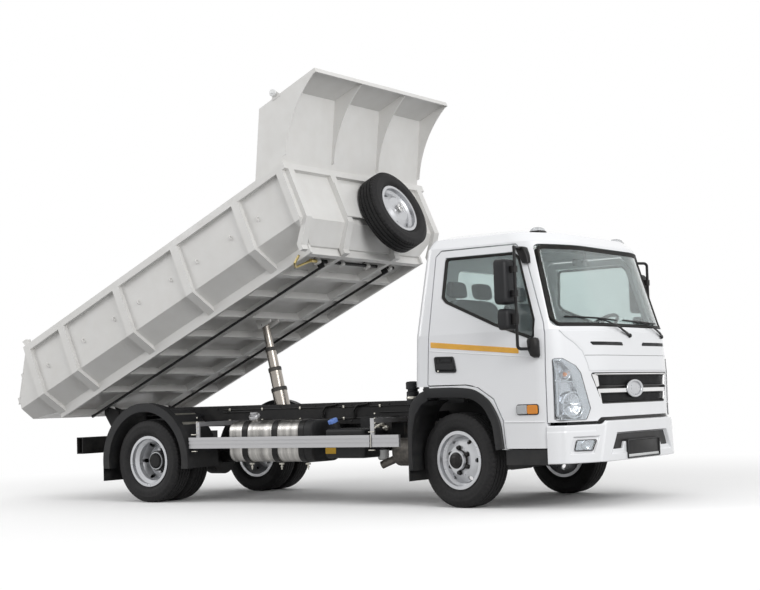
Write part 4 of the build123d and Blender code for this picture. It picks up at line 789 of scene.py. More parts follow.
class TRUCK_OT_wheel_trim(bpy.types.Operator):
    """Hub caps and capped nuts of the road wheels, and the clamp of the spare wheel"""

    bl_idname = "truck.wheel_trim"
    bl_label = "Wheel trim"

    def execute(self, context):
        sizes = context.scene.truck_sizes
        for side, name in ((1, "left"), (-1, "right")):
            origin, u, v, w = wheel_place(side)
            hub = Shape()
            cap = [(0, 0.148), (0.020, 0.148), (0.026, 0.142), (0.040, 0.140), (0.046, 0.133), (0.060, 0.130),
                   (0.066, 0.122), (0.068, 0.098), (0.082, 0.094), (0.086, 0.080), (0.086, 0.070), (0, 0.070)]
            hub.surface(carry(lathe(cap, 40), origin, u, v, w), rows_close=True, cols_close=False, caps=False)
            nuts_ring(
                hub, origin + w * 0.072, u, v, w, 6, sizes.nut_circle, sizes.nut_radius, 0.036, math.pi / 6
            )
            hub.build(
                "hub_front_" + name, "front_wheel_" + name, "chassis_black", "satin black", place=np.asarray
            )
            origin = truck((REAR_AXLE_X, side * 0.780, AXLE_Z))
            u, v, w = axes_along((0, side, 0))
            hub = Shape()
            cap = [(0, 0.128), (0.060, 0.128), (0.072, 0.118), (0.076, 0.100), (0.092, 0.096), (0.096, 0.060),
                   (0.096, 0.030), (0, 0.030)]
            hub.surface(carry(lathe(cap, 40), origin, u, v, w), rows_close=True, cols_close=False, caps=False)
            nuts_ring(
                hub, origin + w * 0.020, u, v, w, 6, sizes.nut_circle, sizes.nut_radius, 0.040, math.pi / 6
            )
            nuts_ring(hub, origin + w * 0.122, u, v, w, 8, 0.056, 0.007, 0.010)
            hub.build(
                "hub_rear_" + name, "rear_wheels_" + name, "chassis_black", "satin black", place=np.asarray
            )
        w = on_bed((1.0, 0.0, 0.0)) - on_bed((0.0, 0.0, 0.0))
        u, v, w = axes_along(w)
        centre = on_bed(SPARE_CENTRE)
        trim = Shape()
        washer = [
            (0, 0.118), (0.010, 0.118), (0.014, 0.112), (0.016, 0.096), (0.040, 0.094), (0.042, 0.086),
            (0, 0.086)
        ]
        trim.turned(washer, 24, centre, u, v, w)
        for turn in math.pi / 2 + np.array((0.0, math.pi)):
            wing = slab(box_outline(0.030, 0.010, 0.004, 4), 0.016, 0.052, 0.003)
            trim.surface(carry(wing, centre + w * 0.104, w, np.cross(np.cos(turn) * u + np.sin(turn) * v, w),
                               np.cos(turn) * u + np.sin(turn) * v))
        trim.build("spare_clamp", "bed", "zinc_steel", "bright metal", place=np.asarray)
        return {"FINISHED"}


# ---------------------------------------------------------------- cab: seals, wipers, vents and seams
def seat_on(lay, u, v, out=0.0):
    """A place on a skin and its axes, the third of them along the skin's normal."""
    points, normals = lay(np.array([[u, v]]), out)
    return (points[0], *axes_along(normals[0]))


def flank(side):
    """Lays points (x, z) on one side of the cab."""
    return lambda points, out=0.0: on_side(points, side, out)


def band(outline, lay, section):
    """A closed moulding along an outline: each row of its section says how far inside the outline it runs
    and how high over the skin."""
    section = np.asarray(section, float)
    flat = np.array([inset(outline, d) for d in section[:, 0]])
    return lay(flat, np.broadcast_to(section[:, 1:], flat.shape[:2]))[0]


def seal_section(wide, deep, proud=0.0055, out=0.010):
    """Rubber seal: a rounded lip on the skin that runs down to the glass."""
    return [(-out, 0.0005), (-out, proud * 0.6), (-out * 0.5, proud), (wide * 0.2, proud), (wide * 0.45, 0.0),
            (wide * 0.9, deep + 0.003), (wide, deep), (wide, deep - 0.002), (0.001, deep - 0.001)]


def softened(line, reach):
    """An open line with its corners eased: each point becomes the mean of its neighbours up to reach points
    away, weighted by a raised cosine."""
    weight = np.hanning(2 * reach + 3)[1:-1]
    padded = np.pad(line, ((reach, reach), (0, 0)), mode="reflect", reflect_type="odd")
    return np.column_stack([np.convolve(values, weight / weight.sum(), "valid") for values in padded.T])


def smooth(distance, width):
    """1 well inside an edge, 0 well outside it, and a quarter wave between."""
    return 0.5 - 0.5 * np.sin(np.clip(distance / width, -1, 1) * math.pi / 2)


def edge_distance(points, polygon):
    """How far points lie outside a convex polygon: the largest of their distances from its edges' lines."""
    corners = np.asarray(polygon, float)
    along = np.roll(corners, -1, 0) - corners
    normal = np.stack([along[:, 1], -along[:, 0]], -1) / np.linalg.norm(along, axis=1)[:, None]
    middle = corners.mean(0)
    normal = normal * np.sign(((corners - middle) * normal).sum(1))[:, None]
    return np.max(points @ normal.T - (corners * normal).sum(1), axis=-1)


class TRUCK_OT_glazing(bpy.types.Operator):
    """Rubber seals round the windscreen and the side windows, and two wipers"""

    bl_idname = "truck.glazing"
    bl_label = "Glazing"

    def execute(self, context):
        rubber, black = "rubber", "satin black"
        screen = resample(rounded(WINDSCREEN, 0.070, 9), 220, True)
        seal = Shape()
        seal.moulding(screen, on_front, seal_section(0.034, -0.0125, out=0.014))
        seal.build("windscreen_seal", "cab", "black_plastic", rubber)
        window = resample(rounded(SIDE_WINDOW, 0.040, 7), 160, True)
        for side, name in ((1, "left"), (-1, "right")):
            seal = Shape()
            seal.moulding(window, flank(side), seal_section(0.024, -0.0125))
            seal.build("window_seal_" + name, "door_" + name, "black_plastic", rubber)
        wipers = Shape()
        # pivot and the two ends of each blade, as (y, z) on the front
        for pivot, first, last in (((-0.048, 1.352), (-0.850, 1.498), (-0.215, 1.476)),
                                   ((0.600, 1.352), (-0.085, 1.480), (0.520, 1.462))):
            t = np.linspace(0, 1, 14)[:, None]
            line = np.asarray(first) * (1 - t) + np.asarray(last) * t
            wipers.surface(pipe(on_front(line, -0.006)[0], 0.0055, 6))
            wipers.surface(pipe(on_front(line, 0.004)[0], 0.0050, 6))
            middle = (np.asarray(first) + last) / 2
            path = np.asarray(pivot) * (1 - t) + middle * t
            lift = 0.006 + 0.022 * np.sin(math.pi * np.clip(t[:, 0] * 1.15, 0, 1)) ** 0.5
            wipers.surface(pipe(on_front(path, lift)[0], np.linspace(0.010, 0.0055, 14), 8))
            cap = [(0, 0.026), (0.012, 0.025), (0.017, 0.019), (0.019, 0.004), (0.024, -0.004), (0, -0.004)]
            wipers.turned(cap, 20, *seat_on(on_front, *pivot))
        wipers.build("wipers", "cab", "black_plastic", black)
        return {"FINISHED"}


PANEL_EDGE = (
    (-0.938, 1.390), (-0.895, 1.342), (-0.816, 1.287), (-0.752, 1.224), (-0.718, 1.129), (-0.706, 1.066)
)
VENT = ((-0.683, 1.298), (-0.196, 1.298), (-0.165, 1.269), (-0.645, 1.270))


class TRUCK_OT_nose(bpy.types.Operator):
    """Raised middle of the front panel with its seams, two air vents, and a satin black plate over the bumper
    that paints the shade of the slot there
    """

    bl_idname = "truck.nose"
    bl_label = "Nose panel"

    def execute(self, context):
        edge = np.array(PANEL_EDGE)
        outline = resample(np.vstack([edge, edge[::-1] * (-1, 1)]), 260, True)
        panel = Shape()
        panel.surface(laid(outline, on_front, -0.002, 0.0045, 0.0035, rings=16))
        panel.build("nose_panel", "cab", "cab_white", "cab paint")
        seams = Shape()
        seams.moulding(
            outline, on_front, ((-0.0035, -0.001), (-0.0035, 0.0006), (0.001, 0.0006), (0.001, -0.001))
        )
        across = np.column_stack([np.linspace(-0.735, 0.735, 60), np.full(60, 1.190)])
        points, normals = on_front(across, 0.0044)
        seams.surface(strip(points, normals, bead(0.0035, 0.0006), closed=False))
        seams.build("nose_seams", "cab", "black_plastic", "satin black")
        vents = Shape()
        vent = resample(rounded(VENT, 0.006, 4), 90, True)
        vents.surface(laid(vent, on_front, 0.0, 0.0055, 0.001, rings=8))
        for z in (1.276, 1.284, 1.292):
            points, normals = on_front(
                np.column_stack([np.linspace(-0.655, -0.185, 24), np.full(24, z)]), 0.0052
            )
            vents.surface(strip(points, normals, bead(0.0035, 0.003), closed=False))
        vents.mirrored().build("air_vents", "cab", "black_plastic", "black plastic")
        # Painted shade: a flat satin black plate laid on the skin stands for the dark inside of the slot over
        # the bumper.
        slot = Shape()
        outline = resample(
            rounded([(-0.668, 0.655), (-0.600, 0.702), (0.600, 0.702), (0.668, 0.655)], 0.008, 4), 160, True
        )
        slot.surface(laid(outline, on_front, -0.002, 0.003, 0.001, rings=10))
        slot.build("nose_slot_painted_shade", "cab", "black_plastic", "satin black")
        return {"FINISHED"}


# ---------------------------------------------------------------- grille
def diamond_mesh(window, pitch, height, bar, low, high):
    """Flat diamond rings in staggered rows over a window, each an outer and an inner loop at two heights."""
    left, right = window[:, 0].min(), window[:, 0].max()
    bottom, top = window[:, 1].min(), window[:, 1].max()
    i, j = np.meshgrid(
        np.arange(int((right - left) / pitch) + 1), np.arange(int((top - bottom) / height) + 1)
    )
    first = np.stack([left + i * pitch, bottom + j * height], -1).reshape(-1, 2)
    centres = np.vstack([first, first + (pitch / 2, height / 2)])
    centres = centres[edge_distance(centres, window) < -height * 0.35]
    corner = np.array([(pitch / 2, 0), (0, height / 2), (-pitch / 2, 0), (0, -height / 2)]) * 0.996
    rings = np.array([corner, corner, corner * (1 - bar), corner * (1 - bar)])
    flat = centres[:, None, None] + rings[None]
    return on_front(flat, np.broadcast_to(np.array([low, high, high, low])[None, :, None], flat.shape[:3]))[0]


class TRUCK_OT_grille(bpy.types.Operator):
    """Dark grille with two diamond meshes, bright bars with slanted ends and a plain oval boss"""

    bl_idname = "truck.grille"
    bl_label = "Grille"

    def execute(self, context):
        opening = resample(rounded(np.array(GRILLE) * (0.998, 1) - (0, 0.0005), 0.020, 6), 240, True)
        tray = Shape()
        tray.surface(laid(opening, on_front, -0.0418, -0.034, 0.001, rings=14))
        tray.moulding(
            opening, on_front,
            ((0.0, -0.041), (0.0, -0.004), (0.004, -0.002), (0.010, -0.003), (0.012, -0.010), (0.013, -0.036))
        )
        for z in (1.034, 0.946, 0.892, 0.812):
            half = 0.572 + (z - 0.806) * 0.50 - 0.012
            points, normals = on_front(
                np.column_stack([np.linspace(-half, half, 50), np.full(50, z)]), -0.026
            )
            tray.surface(strip(points, normals, box_outline(0.012, 0.030, 0.003, 3), closed=False))
        tray = tray.build("grille_tray", "cab", "grille_grey", "satin black")
        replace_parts(tray, "grille")
        mesh = Shape()
        sizes = context.scene.truck_sizes
        for window in (((-0.618, 0.950), (0.618, 0.950), (0.645, 1.030), (-0.645, 1.030)),
                       ((-0.568, 0.814), (0.568, 0.814), (0.600, 0.888), (-0.600, 0.888))):
            mesh.repeat(
                diamond_mesh(
                    np.array(window), sizes.mesh_pitch, sizes.mesh_pitch * 0.62, 0.24, -0.032, -0.020
                )
            )
        mesh.build("grille_mesh", "cab", "grille_grey", "black plastic", sharp=30.0)
        bars = Shape()
        for outline in (
            ((-0.630, 0.926), (-0.120, 0.926), (-0.120, 0.892), (-0.600, 0.892)),
            ((-0.682, 1.046), (-0.612, 1.030), (-0.598, 0.948), (-0.636, 0.936)),
            ((-0.630, 0.922), (-0.588, 0.892), (-0.568, 0.812), (-0.580, 0.812)),
        ):
            bars.surface(
                laid(resample(rounded(outline, 0.004, 3), 70, True), on_front, -0.036, -0.002, 0.005, rings=6)
            )
        top = np.array([(-0.660, 1.048), (0.660, 1.048), (0.652, 1.036), (-0.652, 1.036)])
        bars.mirrored()
        bars.surface(
            laid(resample(rounded(top, 0.004, 3), 200, True), on_front, -0.036, -0.002, 0.004, rings=6)
        )
        bars.build("grille_bars", "cab", "grille_grey", "bright metal")
        boss = Shape()
        turn = np.linspace(0, 2 * math.pi, 14, endpoint=False)
        ring = np.column_stack([0.064 + 0.009 * np.cos(turn), 0.001 + 0.008 * np.sin(turn)])
        oval = (2.05, 1.0, 1.0)
        boss.surface(carry(lathe(ring, 72) * oval, *seat_on(on_front, 0.0, 0.922)), True, True, False)
        disc = [(0, 0.004), (0.030, 0.003), (0.056, -0.001), (0.060, -0.005), (0.060, -0.034), (0, -0.034)]
        boss.surface(carry(lathe(disc, 72) * oval, *seat_on(on_front, 0.0, 0.922)), True, False, False)
        boss.build("grille_boss", "cab", "grille_grey", "wheel silver")
        return {"FINISHED"}


# ---------------------------------------------------------------- lamps
def bowl(radius, depth, neck):
    """Reflector: a parabola turned round its axis, its height growing with the square of the radius."""
    r = np.linspace(neck, radius, 12)
    return np.column_stack([r, depth * (r / radius) ** 2 - depth])


class TRUCK_OT_lamps(bpy.types.Operator):
    """Headlamps with reflector, indicator and lens, the side marker lamps and the roof's marker lamps"""

    bl_idname = "truck.lamps"
    bl_label = "Lamps"

    def execute(self, context):
        bright, black = "lamp chrome", "satin black"
        outline = resample(rounded(HEADLAMP, 0.016, 6), 120, True)
        housing = Shape()
        housing.surface(laid(inset(outline, 0.001), on_front, -0.0395, -0.0370, 0.0005, rings=10))
        housing.moulding(
            outline, on_front,
            ((0.001, -0.038), (0.001, -0.003), (0.005, -0.003), (0.010, -0.012), (0.016, -0.036))
        )
        place = seat_on(on_front, -0.874, 0.806, -0.005)
        dish = lathe(np.vstack([bowl(0.084, 0.031, 0.014), [(0.088, 0.001), (0.092, -0.030)]]), 168)
        facet = 0.0022 * np.cos(np.linspace(0, 2 * math.pi, 168, endpoint=False) * 14)
        dish[:, :12, 2] = dish[:, :12, 2] + facet[:, None] * np.linspace(0.2, 1, 12) * (
            dish[:, :12, 2] < -0.001
        )
        housing.surface(carry(dish, *place), True, False, False)
        small = seat_on(on_front, -0.912, 1.044, -0.010)
        housing.turned(np.vstack([bowl(0.036, 0.024, 0.008), [(0.039, 0.001), (0.040, -0.024)]]), 40, *small)
        step = np.column_stack([np.linspace(-0.985, -0.850, 16), np.linspace(0.996, 0.986, 16)])
        points, normals = on_front(step, -0.022)
        housing.surface(strip(points, normals, box_outline(0.012, 0.028, 0.004, 3), closed=False))
        lamps = housing.mirrored().build("headlamp_housings", "cab", "aluminium_core", bright, outward=False)
        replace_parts(lamps, "headlamps")
        bulbs = Shape()
        bulb = [(0, 0.020), (0.006, 0.018), (0.008, 0.010), (0.008, -0.004), (0, -0.004)]
        bulbs.turned(bulb, 16, place[0] - place[3] * 0.026, *place[1:])
        bulbs.mirrored().build("headlamp_bulbs", "cab", "lamp_clear", "white plastic")
        amber = Shape()
        bulb = [(0, 0.016), (0.009, 0.013), (0.013, 0.006), (0.013, -0.006), (0, -0.006)]
        amber.turned(bulb, 20, small[0] - small[3] * 0.014, *small[1:])
        amber.mirrored().build("indicator_bulbs", "cab", "lamp_clear", "amber lens")
        edge = resample(rounded(HEADLAMP_LENS, 0.016, 6), 120, True)
        skirt = Shape()
        skirt.surface(np.array([on_front(loop, out)[0] for loop, out in
                                ((edge, -0.002), (edge, 0.0018), (outline, 0.0024), (outline, -0.006))]),
                      rows_close=True, caps=False)
        turn = np.linspace(0, 2 * math.pi, 90, endpoint=False)
        circle = np.column_stack([0.104 * np.cos(turn) - 0.862, 0.104 * np.sin(turn) + 0.806])
        skirt.moulding(
            circle, on_front,
            ((0.0, -0.004), (0.0, 0.0026), (0.003, 0.0033), (0.008, 0.0033), (0.011, 0.0020), (0.011, -0.004))
        )
        skirt.mirrored().build("headlamp_skirts", "cab", "aluminium_core", bright)
        lens = Shape()
        lens.surface(laid(inset(edge, 0.001), on_front, 0.0034, 0.0066, 0.001, rings=12))
        lens.mirrored().build("headlamp_lenses", "cab", "lamp_clear", "lens")
        seam = Shape()
        seam.moulding(edge, on_front, ((-0.004, -0.002), (-0.004, 0.0074), (0.002, 0.0074), (0.002, 0.001)))
        seam.mirrored().build("headlamp_seams", "cab", "black_plastic", "rubber")
        for side, name in ((1, "left"), (-1, "right")):
            lay = flank(side)
            rim = resample(
                rounded([(0.585, 0.738), (0.783, 0.738), (0.783, 0.822), (0.585, 0.822)], 0.020, 7), 90, True
            )
            base = Shape()
            base.surface(laid(rim, lay, -0.001, 0.005, 0.002))
            base.build("marker_base_" + name, "door_" + name, "black_plastic", black)
            for kind, x0, x1 in (("clear", 0.592, 0.682), ("amber", 0.684, 0.776)):
                glass = Shape()
                part = rounded(
                    [(x0, 0.745), (x1, 0.745), (x1, 0.815), (x0, 0.815)],
                    (0.012 if kind == "amber" else 0.010), 5
                )
                glass.surface(laid(resample(part, 60, True), lay, 0.003, 0.016, 0.006, steps=5))
                material = "ribbed lens" if kind == "clear" else "amber lens"
                glass.build("marker_%s_%s" % (kind, name), "door_" + name, "lamp_clear", material)
        base, dome = Shape(), Shape()
        foot = box_outline(0.110, 0.126, 0.024, 6)
        stages = (
            (0.000, 2.150, 1.0), (0.001, 2.196, 1.0), (0.004, 2.204, 0.96), (0.010, 2.206, 0.90),
            (0.020, 2.206, 0.5)
        )
        base.surface(np.array([np.column_stack([foot * scale + (0.650, 0.700), np.full(len(foot), z)])
                               for _, z, scale in stages]))
        turn = np.linspace(0, math.pi / 2, 8)
        loops = [np.column_stack([foot * (0.86 * math.cos(a) ** 0.7 + 0.002) + (0.650, 0.700),
                                  np.full(len(foot), 2.204 + 0.034 * math.sin(a))]) for a in turn]
        dome.surface(np.array(loops))
        base = base.mirrored().build("roof_lamp_bases", "cab", "black_plastic", black)
        dome.mirrored().build("roof_lamp_domes", "cab", "lamp_clear", "ribbed lens")
        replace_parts(base, "roof_lamps")
        return {"FINISHED"}


# ---------------------------------------------------------------- bumper
BUMPER_LOW, BUMPER_HIGH, BUMPER_REAR = 0.354, 0.650, 0.845
RECESS = ((-0.455, 0.572), (0.455, 0.572), (0.545, 0.420), (-0.545, 0.420))
FOG_LAMP = ((-0.900, 0.448), (-0.738, 0.445), (-0.694, 0.536), (-0.876, 0.538))


def bumper_line(count):
    """The bumper's plan from its right rear edge round the nose to its left one, with normals."""
    y = np.sin(np.linspace(-1, 1, 900) * math.pi / 2) * 0.9999 * BUMPER_PLAN[2]
    x = nose_x(y, 0.5 * np.ones_like(y), bumper_section)
    line = softened(resample(np.column_stack([x, y])[x > BUMPER_REAR], count), 14)
    along = np.gradient(line, axis=0)
    normals = np.stack([along[:, 1], -along[:, 0]], -1)
    return line, normals / np.linalg.norm(normals, axis=1)[:, None]


def bumper_relief(y, z):
    """How far the bumper's face stands out of its plan: raised middle, recess and lamp pockets."""
    at = np.stack([-np.abs(y), z], -1)
    middle = [(-0.575, 0.760), (0.9, 0.760), (0.9, 0.300), (-0.690, 0.300)]
    relief = 0.011 * smooth(edge_distance(at, middle), 0.012)
    relief = relief - 0.030 * smooth(edge_distance(at, RECESS), 0.008)
    pocket = [(-0.930, 0.430), (-0.730, 0.430), (-0.672, 0.556), (-0.898, 0.556)]
    relief = relief - 0.014 * smooth(edge_distance(at, pocket), 0.006)
    return relief + 0.003 * smooth(z - 0.600, 0.006) * (np.abs(y) > 0.70) - 0.003 * (np.abs(y) > 0.70)


class TRUCK_OT_bumper(bpy.types.Operator):
    """Front bumper with its raised middle, dark recess, lower bar, plate frame and fog lamps"""

    bl_idname = "truck.bumper"
    bl_label = "Bumper"

    def execute(self, context):
        line, normals = bumper_line(860)
        rise = 0.026 * smooth(np.abs(line[:, 1]) - 0.612, 0.030)
        t = np.concatenate([[0, 0, 0.004, 0.016], np.linspace(0.03, 0.965, 78), [0.985, 0.996, 1, 1]])
        tuck = np.concatenate(
            [[-0.040, -0.012, -0.006, -0.001], np.zeros(78), [-0.002, -0.008, -0.014, -0.040]]
        )
        z = BUMPER_LOW + t[:, None] * (BUMPER_HIGH + rise - BUMPER_LOW)[None]
        z[-1] = BUMPER_HIGH - 0.002
        y = np.broadcast_to(line[:, 1], z.shape)
        out = tuck[:, None] + bumper_relief(y, z) * (tuck > -0.004)[:, None]
        flat = line[None] + normals[None] * out[..., None]
        grid = np.concatenate([flat, z[..., None]], -1)
        back = np.concatenate(
            [line[None] - normals[None] * 0.040, np.full((1, len(line), 1), BUMPER_LOW + 0.05)], -1
        )
        skin = Shape()
        skin.surface(np.concatenate([back, grid]).transpose(1, 0, 2), caps=True)
        skin = skin.build("bumper_skin", "chassis", "cab_white", "cab paint", sharp=50.0)
        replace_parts(skin, "front_bumper")
        floor = Shape()
        outline = resample(rounded(inset(np.array(RECESS), 0.006), 0.012, 4), 140, True)
        floor.surface(laid(outline, on_bumper, -0.0200, -0.0165, 0.001, rings=8))
        floor.build("bumper_recess", "chassis", "black_plastic", "satin black")
        bar = Shape()
        for side in (((-0.545, 0.392), (-0.272, 0.392), (-0.272, 0.450), (-0.520, 0.450)),
                     ((-0.362, 0.440), (-0.272, 0.440), (-0.272, 0.503), (-0.330, 0.503))):
            bar.surface(
                laid(resample(rounded(side, 0.010, 5), 90, True), on_bumper, -0.019, 0.004, 0.006, rings=8)
            )
        bar.mirrored()
        bar.build("bumper_lower_bar", "chassis", "cab_white", "cab paint")
        holder = Shape()
        ring = box_outline(0.596, 0.152, 0.012, 5) + (0, PLATE_HEIGHT)
        loops = [
            np.column_stack([np.full(len(ring), x), inset(ring, d)]) for x,
            d in ((1.140, 0.0), (1.170, 0.0), (1.173, 0.003), (1.172, 0.009), (1.166, 0.012), (1.140, 0.012))
        ]
        holder.surface(np.array(loops), rows_close=True, caps=False)
        holder.build("plate_frame", "chassis", "black_plastic", "black plastic")
        sheet = Shape()
        panel = slab(box_outline(0.576, 0.132, 0.004, 3), 0.0, 0.0035, 0.001, 3)
        sheet.surface(carry(panel, (1.1605, 0.0, PLATE_HEIGHT), *FACING_FRONT))
        sheet = sheet.build("plate_sheet", "chassis", "plate_white", "satin black")
        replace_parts(sheet, "number_plate")
        foot = Shape()
        margin = slab(box_outline(0.560, 0.020, 0.002, 3), 0.0, 0.0015, 0.0004, 3)
        foot.surface(carry(margin, (1.1635, 0.0, PLATE_HEIGHT - 0.054), *FACING_FRONT))
        foot.build("plate_margin", "chassis", "plate_white", "plate")
        fog = resample(rounded(FOG_LAMP, 0.012, 5), 70, True)
        bezel, dish, glass = Shape(), Shape(), Shape()
        bezel.moulding(
            fog, on_bumper,
            (
                (-0.006, -0.015), (-0.006, -0.004), (-0.002, -0.001), (0.006, -0.002), (0.009, -0.009),
                (0.009, -0.014)
            )
        )
        bezel.mirrored().build("fog_lamp_bezels", "chassis", "black_plastic", "black plastic")
        dish.surface(laid(inset(fog, 0.006), on_bumper, -0.0145, -0.0135, 0.0003, rings=4))
        place = seat_on(on_bumper, -0.800, 0.492, -0.0055)
        dish.turned(np.vstack([bowl(0.036, 0.008, 0.006), [(0.038, -0.001), (0.039, -0.009)]]), 40, *place)
        dish.mirrored().build("fog_lamp_dishes", "chassis", "aluminium_core", "lamp chrome", outward=False)
        glass.surface(laid(inset(fog, 0.008), on_bumper, -0.0052, -0.0026, 0.0008, rings=5))
        glass.mirrored().build("fog_lamp_glass", "chassis", "lamp_clear", "lens")
        return {"FINISHED"}


# ---------------------------------------------------------------- doors and mirrors
def head(x0, x1, y0, y1, z0, z1, corner, crown):
    """A mirror's housing: a rounded plate across the truck whose front is crowned over a wide bevel."""
    grid = slab(box_outline(y1 - y0, z1 - z0, corner, 7), 0.0, x1 - x0, crown, 7, foot_bevel=0.006)
    grid = np.stack([grid[..., 2] + x0, grid[..., 0] + (y0 + y1) / 2, grid[..., 1] + (z0 + z1) / 2], -1)
    return grid


class TRUCK_OT_doors(bpy.types.Operator):
    """Door handles, the coloured stripe, lower creases and the mirrors on their tubes"""

    bl_idname = "truck.doors"
    bl_label = "Doors and mirrors"

    def execute(self, context):
        black = "black plastic"
        for side, name in ((1, "left"), (-1, "right")):
            lay, body = flank(side), "door_" + name
            handle = Shape()
            cup = rounded([(-0.170, 1.226), (0.018, 1.222), (0.046, 1.090), (-0.158, 1.098)], 0.018, 6)
            handle.moulding(
                resample(cup, 90, True), lay,
                ((0, -0.001), (0, 0.007), (0.003, 0.010), (0.012, 0.010), (0.016, 0.005), (0.018, 0.0))
            )
            handle.surface(laid(resample(cup, 90, True), lay, -0.001, 0.0025, 0.001))
            grip = rounded([(-0.150, 1.166), (0.020, 1.162), (0.026, 1.112), (-0.144, 1.118)], 0.010, 5)
            handle.surface(laid(resample(grip, 80, True), lay, 0.001, 0.019, 0.008, steps=5))
            upper = rounded([(-0.120, 1.214), (-0.006, 1.211), (0.000, 1.178), (-0.124, 1.182)], 0.010, 5)
            handle.moulding(
                resample(upper, 60, True), lay, ((0, 0.001), (0, 0.008), (0.004, 0.009), (0.006, 0.001))
            )
            handle.build("handle_" + name, body, "black_plastic", black)
            lock = Shape()
            barrel = [(0, 0.013), (0.006, 0.013), (0.008, 0.011), (0.008, 0.001), (0, 0.001)]
            lock.turned(barrel, 20, *seat_on(lay, -0.130, 1.108))
            lock.build("lock_" + name, body, "zinc_steel", "zinc")
            stripe = Shape()
            band_shape = resample(
                rounded([(-0.200, 1.346), (0.622, 1.262), (0.622, 1.219), (-0.200, 1.301)], 0.003, 3), 200,
                True
            )
            stripe.surface(laid(band_shape, lay, -0.0005, 0.0012, 0.0004, rings=4))
            stripe.build("stripe_" + name, body, "cab_white", "stripe")
            crease = Shape()
            line = np.column_stack([np.linspace(0.478, 0.826, 30), np.linspace(0.686, 0.682, 30)])
            points, normals = lay(line)
            crease.surface(strip(points, normals, bead(0.014, 0.0045), closed=False))
            line = np.column_stack([np.linspace(-0.215, 0.826, 60), np.linspace(1.274, 1.180, 60)])
            points, normals = lay(line)
            crease.surface(strip(points, normals, bead(0.012, 0.0022), closed=False))
            crease.build("door_creases_" + name, body, "cab_white", "cab paint")
            arm, heads, faces = Shape(), Shape(), Shape()
            flip = np.array((1, side, 1))
            tube = rounded(
                [
                    (0.640, 0.985, 2.040), (0.694, 1.175, 2.046), (0.706, 1.190, 2.030),
                    (0.706, 1.190, 1.250), (0.770, 1.070, 1.250)
                ],
                0.030, 7, closed=False
            )
            arm.surface(pipe(tube * flip, 0.0125, 14))
            for z0, z1 in ((1.655, 1.705), (1.845, 1.895), (1.440, 1.525)):
                clamp = np.array(
                    [
                        np.column_stack([box_outline(0.052, 0.050, 0.014) + (0.696, 1.188), np.full(20, z)])
                        for z in (z0, z0 + 0.004, z1 - 0.004, z1)
                    ]
                )
                arm.surface(clamp * flip)
            top = np.array(
                [
                    np.column_stack([box_outline(w, d, 0.014) + (x, y), np.full(20, z)]) for x, y, z, w,
                    d in (
                        (0.640, 0.975, 2.062, 0.060, 0.060), (0.645, 0.972, 2.054, 0.082, 0.080),
                        (0.668, 0.965, 1.990, 0.078, 0.064), (0.690, 0.975, 1.930, 0.060, 0.050)
                    )
                ]
            )
            arm.surface(top * flip)
            drop = np.array(
                [
                    np.column_stack([box_outline(w, d, min(w, d) * 0.42) + (x, y), np.full(20, z)]) for x, y,
                    z, w,
                    d in (
                        (0.778, 1.078, 1.338, 0.040, 0.050), (0.778, 1.078, 1.330, 0.080, 0.082),
                        (0.780, 1.078, 1.310, 0.096, 0.088), (0.782, 1.074, 1.240, 0.092, 0.082),
                        (0.786, 1.062, 1.196, 0.076, 0.060), (0.790, 1.050, 1.180, 0.040, 0.034)
                    )
                ]
            )
            arm.surface(drop * flip)
            arm = arm.build("mirror_arm_" + name, body, "black_plastic", "satin black")
            for size in (
                (0.565, 0.668, 1.085, 1.280, 1.600, 1.950, 0.045, 0.034),
                (0.580, 0.668, 1.100, 1.265, 1.400, 1.565, 0.040, 0.030)
            ):
                heads.surface(head(*size) * flip)
                x0, _, y0, y1, z0, z1, corner, _ = size
                pane = slab(
                    box_outline(y1 - y0 - 0.022, z1 - z0 - 0.022, corner - 0.008, 6), 0.0, 0.003, 0.001, 3
                )
                pane = np.stack(
                    [x0 + 0.001 - pane[..., 2], pane[..., 0] + (y0 + y1) / 2, pane[..., 1] + (z0 + z1) / 2],
                    -1
                )
                faces.surface(pane * flip)
            heads.build("mirror_heads_" + name, body, "black_plastic", black)
            faces.build("mirror_glass_" + name, body, "glass", "mirror")
            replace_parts(arm, "mirror_" + name)
        return {"FINISHED"}


# ---------------------------------------------------------------- seats and cab inside
def cushion(centre, half, corner, channels, depth, lean=0.0):
    """A crowned pad: signed powers of the sphere's cosines and sines round off a box, its sides pull in
    between the corners, sewn channels sink by a bell curve, and the whole leans by its height."""
    u = np.linspace(-math.pi / 2, math.pi / 2, 40)[:, None]
    v = np.linspace(0, 2 * math.pi, 120, endpoint=False)[None]

    def power(value):
        """The value's size to the power of the corner, with the value's own sign."""
        return np.sign(value) * np.abs(value) ** corner

    x = power(np.cos(u)) * power(np.cos(v))
    y = power(np.cos(u)) * power(np.sin(v))
    z = power(np.sin(u)) * np.ones_like(v)
    pull = 1 - 0.035 * (1 - y ** 2) * np.abs(x) ** 4
    pull_y = 1 - 0.030 * (1 - x ** 2) * np.abs(y) ** 4
    grid = np.stack([x * half[0] * pull, y * half[1] * pull_y, z * half[2]], -1)
    axis, normal = (0, 2) if half[2] < half[0] else (2, 0)
    face = np.clip(grid[..., normal] / half[normal], 0, 1) ** 2
    for place in channels:
        sink = depth * np.exp(-((grid[..., axis] - place) / 0.010) ** 2)
        grid[..., normal] = grid[..., normal] - sink * face
    grid[..., 0] = grid[..., 0] + lean * grid[..., 2]
    return grid + centre


